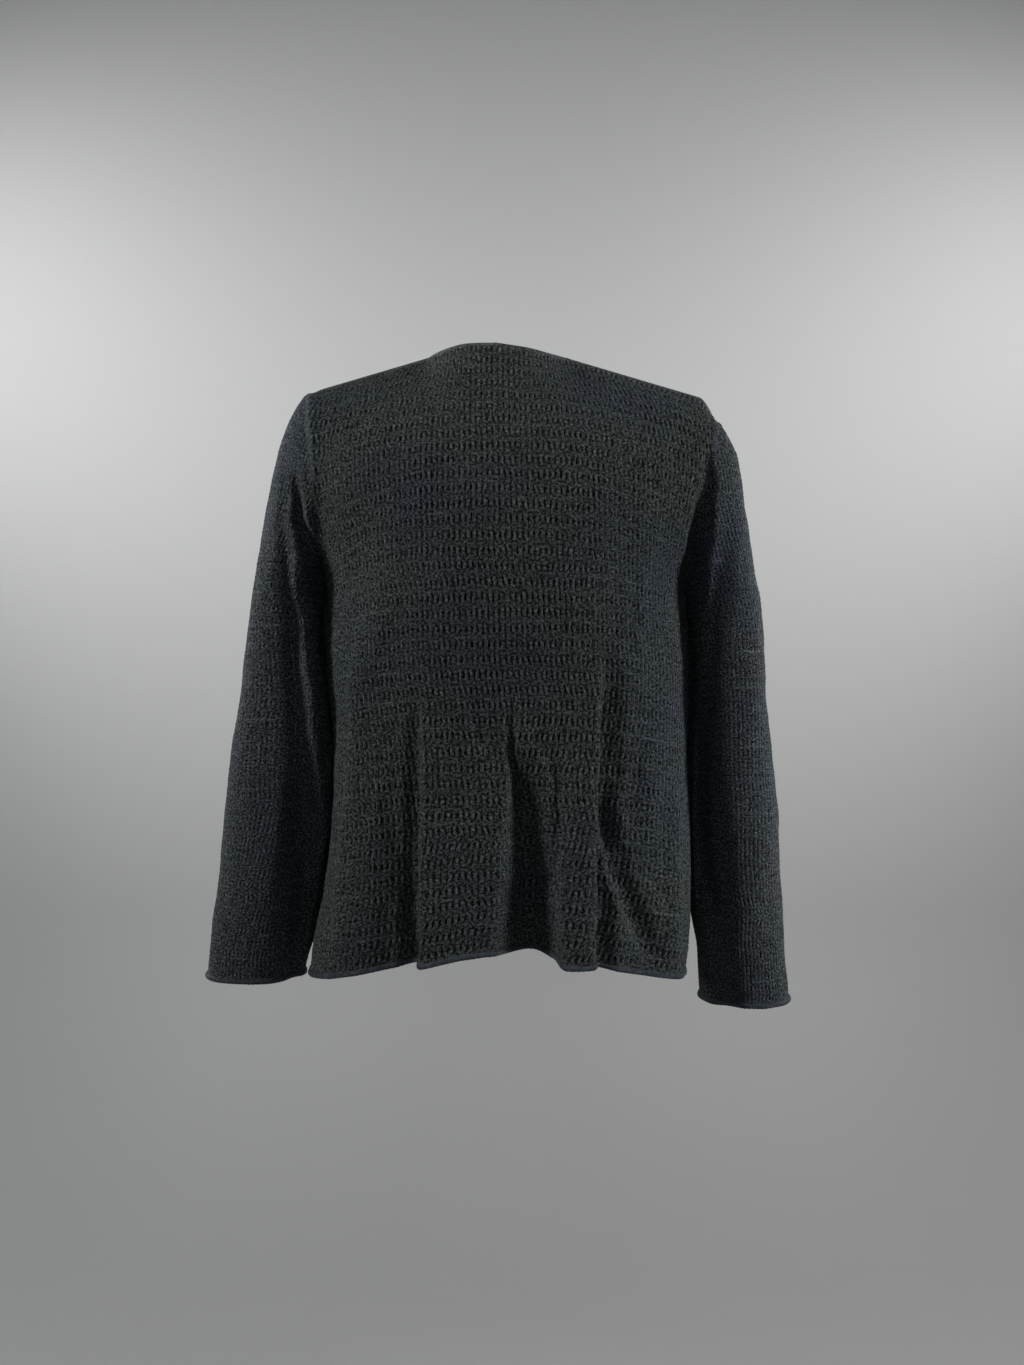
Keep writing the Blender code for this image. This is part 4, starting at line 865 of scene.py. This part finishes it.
def edge_material(name, dark, light):
    """Plain knit rolled on itself: smooth, with fine courses along the roll."""
    mat = bpy.data.materials.new(name)
    mat.use_nodes = True
    nodes, links = mat.node_tree.nodes, mat.node_tree.links
    shader = nodes["Principled BSDF"]
    shader.inputs["Roughness"].default_value = 0.85
    shader.inputs["Specular IOR Level"].default_value = 0.10
    shader.inputs["Sheen Weight"].default_value = 0.05
    shader.inputs["Sheen Roughness"].default_value = 0.45
    shader.inputs["Sheen Tint"].default_value = (0.75, 0.80, 0.92, 1)
    place = nodes.new("ShaderNodeTexCoord").outputs["Object"]
    fuzz = nodes.new("ShaderNodeTexNoise")
    fuzz.inputs["Scale"].default_value = 1300.0
    fuzz.inputs["Detail"].default_value = 3.0
    links.new(place, fuzz.inputs["Vector"])
    nub = nodes.new("ShaderNodeBump")
    nub.inputs["Strength"].default_value = 0.5
    nub.inputs["Distance"].default_value = 0.0004
    links.new(fuzz.outputs[0], nub.inputs["Height"])
    links.new(nub.outputs[0], shader.inputs["Normal"])
    heather = nodes.new("ShaderNodeTexNoise")
    heather.inputs["Scale"].default_value = 380.0
    links.new(place, heather.inputs["Vector"])
    ramp = nodes.new("ShaderNodeMapRange")
    ramp.inputs["From Min"].default_value = 0.3
    ramp.inputs["From Max"].default_value = 0.7
    links.new(heather.outputs[0], ramp.inputs["Value"])
    mix = nodes.new("ShaderNodeMix")
    mix.data_type = "RGBA"
    mix.inputs[6].default_value = (*dark, 1)
    mix.inputs[7].default_value = (*light, 1)
    links.new(ramp.outputs[0], mix.inputs[0])
    links.new(mix.outputs[2], shader.inputs["Base Color"])
    return mat


# --------------------------------------------------------------- body panels
def body_panel(name, rows_of, start, wales, courses, creases, material, seed, pulled, ends, waves):
    """A body panel in stitches. start gives how far along a dense row the line
    lies from which its wales are counted. Up to the underarm the wales share
    the panel's width. Above it they keep their width, and end at the armhole
    and the neck. ends tells which of the first and last columns are sewn."""
    cols, rows = lines(wales, COLUMNS), lines(courses, [line.up for line in BODY_STITCH])
    v = rows / courses
    p = relax(rows_of(v), ease((v - 0.44) / 0.12), 300)
    n = normals(p, p * [1, 1, 0])
    flat = unit(n * [1, 1, 0])
    out, lean, rise = crease_body(p, creases, flat)
    u = np.linspace(0, 1, p.shape[1])[None, :]
    hold = np.ones_like(u)
    if ends[0]:
        hold = hold * ease(u / 0.03)
    if ends[1]:
        hold = hold * ease((1 - u) / 0.03)
    out = (out + waves(p) * ease((1 - v)[:, None] / 0.05)) * hold
    p = p + flat * out[..., None]
    p[..., 0] += lean * hold
    p[..., 2] += rise * hold
    if name == "back":
        p[..., 1] += pit(p, "left") + pit(p, "right")
    n = normals(p, p * [1, 1, 0])
    shift, relief, climb, keep = stitch_pattern(BODY_STITCH, cols, rows, wales, courses, seed, pulled)
    under = int(np.argmin(np.abs(v - UNDERARM_V)))
    s_under = lengths(p[under])
    pitch, from_line = s_under[-1] / wales, start(p[under], s_under)
    split = from_line / pitch
    grid, base, normal, at_edge, layout = [], [], [], [], []
    for i in range(len(rows)):
        s = lengths(p[i])
        want = (cols + shift[i]) / wales * s[-1]
        plain = cols / wales * s[-1]
        line = split * s[-1] / wales
        if i > under:
            line = start(p[i], s)
            low, high = max(pitch, line / split), max(pitch, (s[-1] - line) / (wales - split))
            off, off_plain = cols + shift[i] - split, cols - split
            want = line + off * np.where(off < 0, low, high)
            plain = line + off_plain * np.where(off_plain < 0, low, high)
        at, plain = np.clip(want, 0, s[-1]), np.clip(plain, 0, s[-1])
        at[0], at[-1] = 0, s[-1]
        grid.append(np.stack([np.interp(at, s, p[i][:, k]) for k in range(3)], 1))
        base.append(np.stack([np.interp(plain, s, p[i][:, k]) for k in range(3)], 1))
        normal.append(unit(np.stack([np.interp(at, s, n[i][:, k]) for k in range(3)], 1)))
        at_edge.append(np.minimum(at, s[-1] - at))
        layout.append((at - line) / (s_under[-1] * 1.08) + split / wales)
    grid, base, normal, at_edge, layout = (np.stack(x) for x in (grid, base, normal, at_edge, layout))
    high = (v > UNDERARM_V)[:, None]
    fade = np.where(high, ease(at_edge / 0.0030), 1)
    ridge = edge_ridge(at_edge, rows) * (at_edge > 1e-6)
    near = at_edge < 0.0045
    keep = keep | near[:-1, :-1] | near[:-1, 1:] | near[1:, 1:] | near[1:, :-1]
    grid = grid + normal * (relief * fade + ridge)[..., None]
    grid[..., 2] += climb * fade
    layout = (layout - layout.min()) / (layout.max() - layout.min())
    uv = np.stack(np.broadcast_arrays(layout, v[:, None]), -1) * 0.99 + 0.005
    stitch = np.stack(np.broadcast_arrays(cols[None, :], rows[:, None]), -1)
    # the weight of the painted highlight along the sewn edges and the top, half on the wearer's right and fading into
    # the armpit shade
    sewn = ease(1 - at_edge / 0.0038)
    top = (v[-1] - v)[:, None] * courses * 0.0127
    sewn = np.maximum(sewn, ease(1 - top / 0.0035))
    sewn = sewn * np.where(grid[..., 0] < 0, 0.5, 1.0) * (0.05 + 0.95 * ease((grid[..., 2] + 0.150) / 0.045))
    return shell(name + "_knit", grid, uv, stitch, sewn, keep, material, grid * [1, 1, 0]), base, normal


# ----------------------------------------------------------------- sleeves
RING = np.linspace(pi, -pi, 481)


def sleeve_folds(side, angle, z):
    out = np.zeros_like(angle)
    for (fold_side, _), rows in SLEEVE_FOLDS.items():
        if fold_side == side:
            at, depth, wide = (float(column(rows, c, z, "z")) for c in ("angle", "depth", "wide"))
            out += depth * bump((angle - at) / wide)
    return out


def arm_crease(side, p):
    """The sharp creases at the back of an arm, along Y."""
    out = np.zeros(p.shape[:-1])
    for rows in ARM_CREASES[side].values():
        t, depth, _, _ = follow(rows, np.abs(p[..., 0]), p[..., 2])
        out += depth * bump(t) ** 0.9
    return out


def sleeve_ring(side, z):
    s, rows = ARMHOLE[side].side, SLEEVE[side]
    x_in, x_out, y_mid, half_y, n = (float(column(rows, c, z, "z")) for c in
                                     ("x_in", "x_out", "y_mid", "half_y", "square"))
    cx, sx = np.cos(RING), np.sin(RING)
    x = (x_in + x_out) / 2 + (x_out - x_in) / 2 * np.sign(cx) * np.abs(cx) ** (2 / n)
    y = y_mid + half_y * np.sign(sx) * np.abs(sx) ** (2 / n)
    fold = sleeve_folds(side, np.degrees(RING), z)
    p = np.stack([s * (x + fold * cx), y + fold * sx, np.full_like(x, z)], 1)
    p[:, 1] += arm_crease(side, p) * ease((p[:, 1] - y_mid) / 0.016)
    return p, len(RING) // 2


def cap_row(side, z):
    """An open row of the cap, from the back of the armhole to its front."""
    a, rows = ARMHOLE[side], SLEEVE[side]
    c = np.clip((z - (a.tip_z + a.under_z) / 2) / ((a.tip_z - a.under_z) / 2), -1, 1)
    phi = np.degrees(np.arccos(c))
    s = a.side
    start, end = arm_point(side, +1, phi), arm_point(side, -1, phi)
    x_out, half_y = float(column(CAP[side], "x_out", z, "z")), float(column(CAP[side], "half_y", z, "z"))
    n = rows[-1].square
    open_x = abs(start[0])
    low = ease((z - rows[-1].z) / 0.05)
    middle = (rows[-1].x_in + x_out) / 2 * (1 - low) + (open_x * 0.72 + x_out * 0.28) * low
    end_y = abs(start[1]) / half_y
    under = ease((phi - 84) / 24)                 # 1 in the lower half of the cap
    last_low = pi - np.arcsin(min(end_y ** (n / 2), 1.0))
    last = last_low * under + pi / 2 * (1 - under)
    t = np.linspace(0, 1, len(RING))
    ang = last - 2 * last * t
    cx, sx = np.cos(ang), np.sin(ang)
    inner = max((middle - open_x) * under + (x_out - middle) * (1 - under), 0.004)
    reach = np.where(cx > 0, x_out - middle, inner)
    x = middle + reach * np.sign(cx) * np.abs(cx) ** (2 / n)
    y = half_y * np.sign(sx) * np.abs(sx) ** (2 / n)
    p = np.stack([s * x, y, np.full_like(x, z)], 1)
    p += ease(1 - t / 0.45)[:, None] * (start - p[0]) + ease(1 - (1 - t) / 0.45)[:, None] * (end - p[-1])
    p[:, 2] = z
    fold = sleeve_folds(side, np.degrees(ang), z) * ease(np.minimum(t, 1 - t) / 0.12)
    p[:, 0] += s * fold * cx
    p[:, 1] += fold * sx
    p[:, 1] += arm_crease(side, p) * ease(p[:, 1] / 0.016) * ease(t / 0.05)
    return p, len(RING) // 2


def sleeve(side, material, seed, waves):
    """A set-in sleeve in stitches, with the same wales all the way up, which
    end where they run out at the armhole."""
    a, rows_of = ARMHOLE[side], SLEEVE[side]
    z_low, z_under, z_top = rows_of[0].z, rows_of[-1].z, a.tip_z
    cols, rows = lines(SLEEVE_WALES, COLUMNS), lines(SLEEVE_COURSES, [line.up for line in SLEEVE_STITCH])
    share = rows / SLEEVE_COURSES
    levels = z_low + (z_top - z_low) * share
    levels[-1] = z_top - 1e-5
    dense, outer = [], []
    for z in levels:
        p, mid = sleeve_ring(side, z) if z <= z_under else cap_row(side, z)
        p = p.copy()
        p[:, 1] += pit(p, side)
        dense.append(p)
        outer.append(mid)
    d = np.stack(dense)
    centre = d.mean(1, keepdims=True)
    away = (d - centre) * [1, 1, 0.2]
    slack = waves(d) * ease((levels[-1] - levels)[:, None] / 0.03)
    ends = np.linspace(0, 1, d.shape[1])[None, :]
    d = d + unit(away) * (slack * ease(np.minimum(ends, 1 - ends) / 0.05))[..., None]
    under_ring, mid = sleeve_ring(side, z_under)
    girth = lengths(under_ring)
    full, to_outer = girth[-1], girth[mid]
    shift, relief, climb, keep = stitch_pattern(SLEEVE_STITCH, cols, rows, SLEEVE_WALES, SLEEVE_COURSES, seed)
    grid, at_edge, u = [], [], []
    for i, z in enumerate(levels):
        s = lengths(d[i])
        if z <= z_under:
            at = np.clip((cols + shift[i]) / SLEEVE_WALES, 0, 1) * s[-1]
            at[0], at[-1] = 0, s[-1]
            u.append(cols / SLEEVE_WALES)
        else:
            want = s[outer[i]] + (cols + shift[i]) / SLEEVE_WALES * full - to_outer
            at = np.clip(want, 0, s[-1])
            u.append((at - s[outer[i]] + to_outer) / full)
        grid.append(np.stack([np.interp(at, s, d[i][:, k]) for k in range(3)], 1))
        at_edge.append(np.minimum(at, s[-1] - at))
    grid, at_edge = np.stack(grid), np.stack(at_edge)
    cap = (levels > z_under)[:, None]
    # no eyelet and no relief right at the armhole seam
    relief = np.where(cap, relief * ease(at_edge / 0.003), relief)
    near = (at_edge < 0.0052) & cap
    solid = near[:-1, :-1] | near[:-1, 1:] | near[1:, 1:] | near[1:, :-1]
    keep = keep | solid
    away = (grid - grid.mean(1, keepdims=True)) * [1, 1, 0.2]
    n = normals(grid, away)
    n[:, 0] = n[:, -1] = unit(n[:, 0] + n[:, -1])
    base = grid.copy()
    ridge = np.where(cap & (at_edge > 1e-6), edge_ridge(at_edge, rows) * 0.6, 0)
    grid = grid + n * (relief + ridge)[..., None]
    grid[..., 2] += np.where(cap, climb * ease(at_edge / 0.003), climb)
    grid[:, -1] = np.where(cap, grid[:, -1], grid[:, 0])
    grid[:, :, 0] += np.where(cap & (at_edge < 1e-9), a.side * SEAM / 2, 0)
    uv = np.stack(np.broadcast_arrays(np.stack(u), share[:, None]), -1) * 0.99 + 0.005
    stitch = np.stack(np.broadcast_arrays(cols[None, :], rows[:, None]), -1)
    # the weight of the painted highlight along the armhole seam, half on the right sleeve and fading into the armpit
    # shade
    sewn = np.where(cap, ease(1 - at_edge / 0.0030), 0) * (0.5 if a.side < 0 else 1.0)
    sewn = sewn * (0.05 + 0.95 * ease((grid[..., 2] + 0.150) / 0.045))
    return shell(f"sleeve_{side}_knit", grid, uv, stitch, sewn, keep, material, away), base, n


# -------------------------------------------------------------------- build
# after the colours: how dark the painted shade in the eyelets is, then where the eyelets start and end in a course
CHARCOAL = knit_material("knit_body", (0.0122, 0.0146, 0.0138), (0.056, 0.065, 0.0615), (0.026, 0.031, 0.042),
                         0.95, 0.26, 0.75)
BLUEISH = knit_material("knit_sleeve", (0.0146, 0.0172, 0.0186), (0.068, 0.078, 0.084), (0.032, 0.039, 0.052),
                        0.85, 0.24, 0.54)
EDGE = edge_material("knit_rolled_edge", (0.015, 0.019, 0.023), (0.044, 0.052, 0.062))

calm = soft_waves(11, 9, 0.085, 0.0006)
calm_fine = soft_waves(12, 9, 0.030, 0.00022)


def slack(p):
    return calm(p) + calm_fine(p)


def back_pull(c, r):
    """Where the back is pulled: over the wearer's right blade, and a little
    on the left one and by the hem."""
    u, v = c / BACK_WALES, r / BACK_COURSES
    pull = 0.80 * np.exp(-(((u - 0.88) / 0.09) ** 2 + ((v - 0.86) / 0.10) ** 2) ** 1.5)
    pull = pull + 0.55 * np.exp(-((u - 0.80) / 0.05) ** 2 - ((v - 0.79) / 0.03) ** 2)
    pull = pull + 0.62 * np.exp(-((u - 0.12) / 0.045) ** 2 - ((v - 0.80) / 0.03) ** 2)
    pull = pull + 0.55 * np.exp(-((u - 0.86) / 0.05) ** 2 - ((v - 0.05) / 0.03) ** 2)
    edge = np.minimum(np.minimum(c, BACK_WALES - c) / 2.0, (BACK_COURSES - r) / 1.5)
    return pull * (edge > 1)


def front_pull(c, r):
    u, v = c / FRONT_WALES, r / FRONT_COURSES
    return 0.62 * np.exp(-((u - 0.62) / 0.16) ** 2 - ((v - 0.84) / 0.05) ** 2)


pieces = {}
back, base, n = body_panel("back", back_rows, lambda row, s: s[DENSE - 1], BACK_WALES, BACK_COURSES,
                           BACK_CREASES, CHARCOAL, 21, back_pull, (True, True), slack)
pieces["back"] = back
pieces["hem_roll_back"] = rolled_edge("hem_roll_back_knit", base[0], n[0], EDGE, False, 0.0045, 31)
for side in ("left", "right"):
    front, base, n = body_panel("front_" + side, lambda v, side=side: front_rows(side, v),
                                lambda row, s: float(np.interp(NECK_REACH, np.abs(row[:, 0]), s)),
                                FRONT_WALES, FRONT_COURSES, FRONT_CREASES, CHARCOAL,
                                22 if side == "left" else 23, front_pull, (False, True), slack)
    pieces["front_" + side] = front
    pieces["hem_roll_front_" + side] = rolled_edge(f"hem_roll_front_{side}_knit", base[0], n[0], EDGE, False, 0.0045,
                                                   32 if side == "left" else 33)
    arm, base, n = sleeve(side, BLUEISH, 24 if side == "left" else 25, slack)
    pieces["sleeve_" + side] = arm
    pieces["cuff_roll_" + side] = rolled_edge(f"cuff_roll_{side}_knit", base[0, :-1], n[0, :-1], EDGE, True, 0.0038,
                                              34 if side == "left" else 35)

for node, piece in pieces.items():
    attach(piece, "root")
    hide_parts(node)

# ------------------------------------------------------------- stage, light
def stage_material(name, colour, rough):
    mat = bpy.data.materials.new(name)
    mat.use_nodes = True
    shader = mat.node_tree.nodes["Principled BSDF"]
    shader.inputs["Base Color"].default_value = (*colour, 1)
    shader.inputs["Roughness"].default_value = rough
    return mat


def sweep_backdrop():
    """A floor that curves up into a wall behind, in one sheet."""
    floor_z, wall_y, bend = -1.42, -1.55, 0.6
    profile = [(4.5, floor_z)]
    profile += [(wall_y + bend - bend * sin(t), floor_z + bend - bend * cos(t)) for t in np.linspace(0, pi / 2, 13)]
    profile += [(wall_y, 3.2)]
    verts = [(x, y, z) for y, z in profile for x in (-5.0, 5.0)]
    faces = [(2 * i, 2 * i + 1, 2 * i + 3, 2 * i + 2) for i in range(len(profile) - 1)]
    mesh = bpy.data.meshes.new("backdrop")
    mesh.from_pydata(verts, [], faces)
    mesh.shade_smooth()
    mesh.materials.append(stage_material("pale_stage", (0.64, 0.645, 0.64), 0.9))
    ob = bpy.data.objects.new("backdrop", mesh)
    bpy.context.scene.collection.objects.link(ob)


sweep_backdrop()


def area_light(name, at, aim, size, power, colour=(1, 1, 1), spread=180):
    data = bpy.data.lights.new(name, "AREA")
    data.shape = "RECTANGLE"
    data.size, data.size_y = size
    data.energy = power
    data.color = colour
    data.spread = radians(spread)
    ob = bpy.data.objects.new(name, data)
    ob.location = at
    d = np.array(aim, float) - np.array(at, float)
    d /= np.linalg.norm(d)
    tilt, yaw = np.arccos(-d[2]), np.arctan2(d[1], d[0]) - pi / 2
    ob.rotation_euler = (tilt, 0, yaw)
    bpy.context.scene.collection.objects.link(ob)
    return ob


area_light("key_left", (2.20, 0.92, 0.70), (0, 0, -0.08), (0.7, 1.1), 5.0, (1.0, 1.0, 0.98), 48)
area_light("key_right", (-2.20, 0.88, 0.70), (0, 0, -0.08), (0.7, 1.1), 4.7, (0.98, 0.99, 1.0), 48)
area_light("fill", (0.0, 2.3, 0.9), (0, 0, -0.10), (0.8, 0.6), 6)
area_light("wall_left", (2.4, -0.6, 0.9), (-0.1, -1.6, 0.15), (0.8, 0.8), 9, (1, 1, 1), 70)
area_light("wall_right", (-2.4, -0.6, 0.9), (0.1, -1.6, 0.15), (0.8, 0.8), 8, (1, 1, 1), 70)
area_light("arm_fill", (-1.9, 0.75, -0.1), (-0.37, 0, -0.42), (0.3, 0.3), 0.32, (1, 1, 1), 20)
area_light("far_side_left", (1.55, -1.25, 0.40), (0, -0.1, -0.25), (0.5, 0.5), 6.0, (1, 1, 1), 70)
area_light("far_side_right", (-1.55, -1.25, 0.40), (0, -0.1, -0.25), (0.5, 0.5), 4.8, (1, 1, 1), 70)

world = bpy.data.worlds.new("studio")
bpy.context.scene.world = world
world.use_nodes = True
world.node_tree.nodes["Background"].inputs[0].default_value = (0.86, 0.88, 0.90, 1)
world.node_tree.nodes["Background"].inputs[1].default_value = 0.12

camera = bpy.data.cameras.new("photo_view")
camera.sensor_width = 36
camera.lens = 1104 / 1365 * 36
camera.clip_start = 0.02
eye = bpy.data.objects.new("photo_view", camera)
eye.location = (-0.0092, 1.02, -0.296)
eye.rotation_euler = (radians(90), 0, radians(180))
bpy.context.scene.collection.objects.link(eye)
bpy.context.scene.camera = eye
bpy.context.scene.view_settings.view_transform = "Standard"

for node, piece in pieces.items():
    piece.data.calc_loop_triangles()
    print("TRI", piece.name, len(piece.data.loop_triangles))
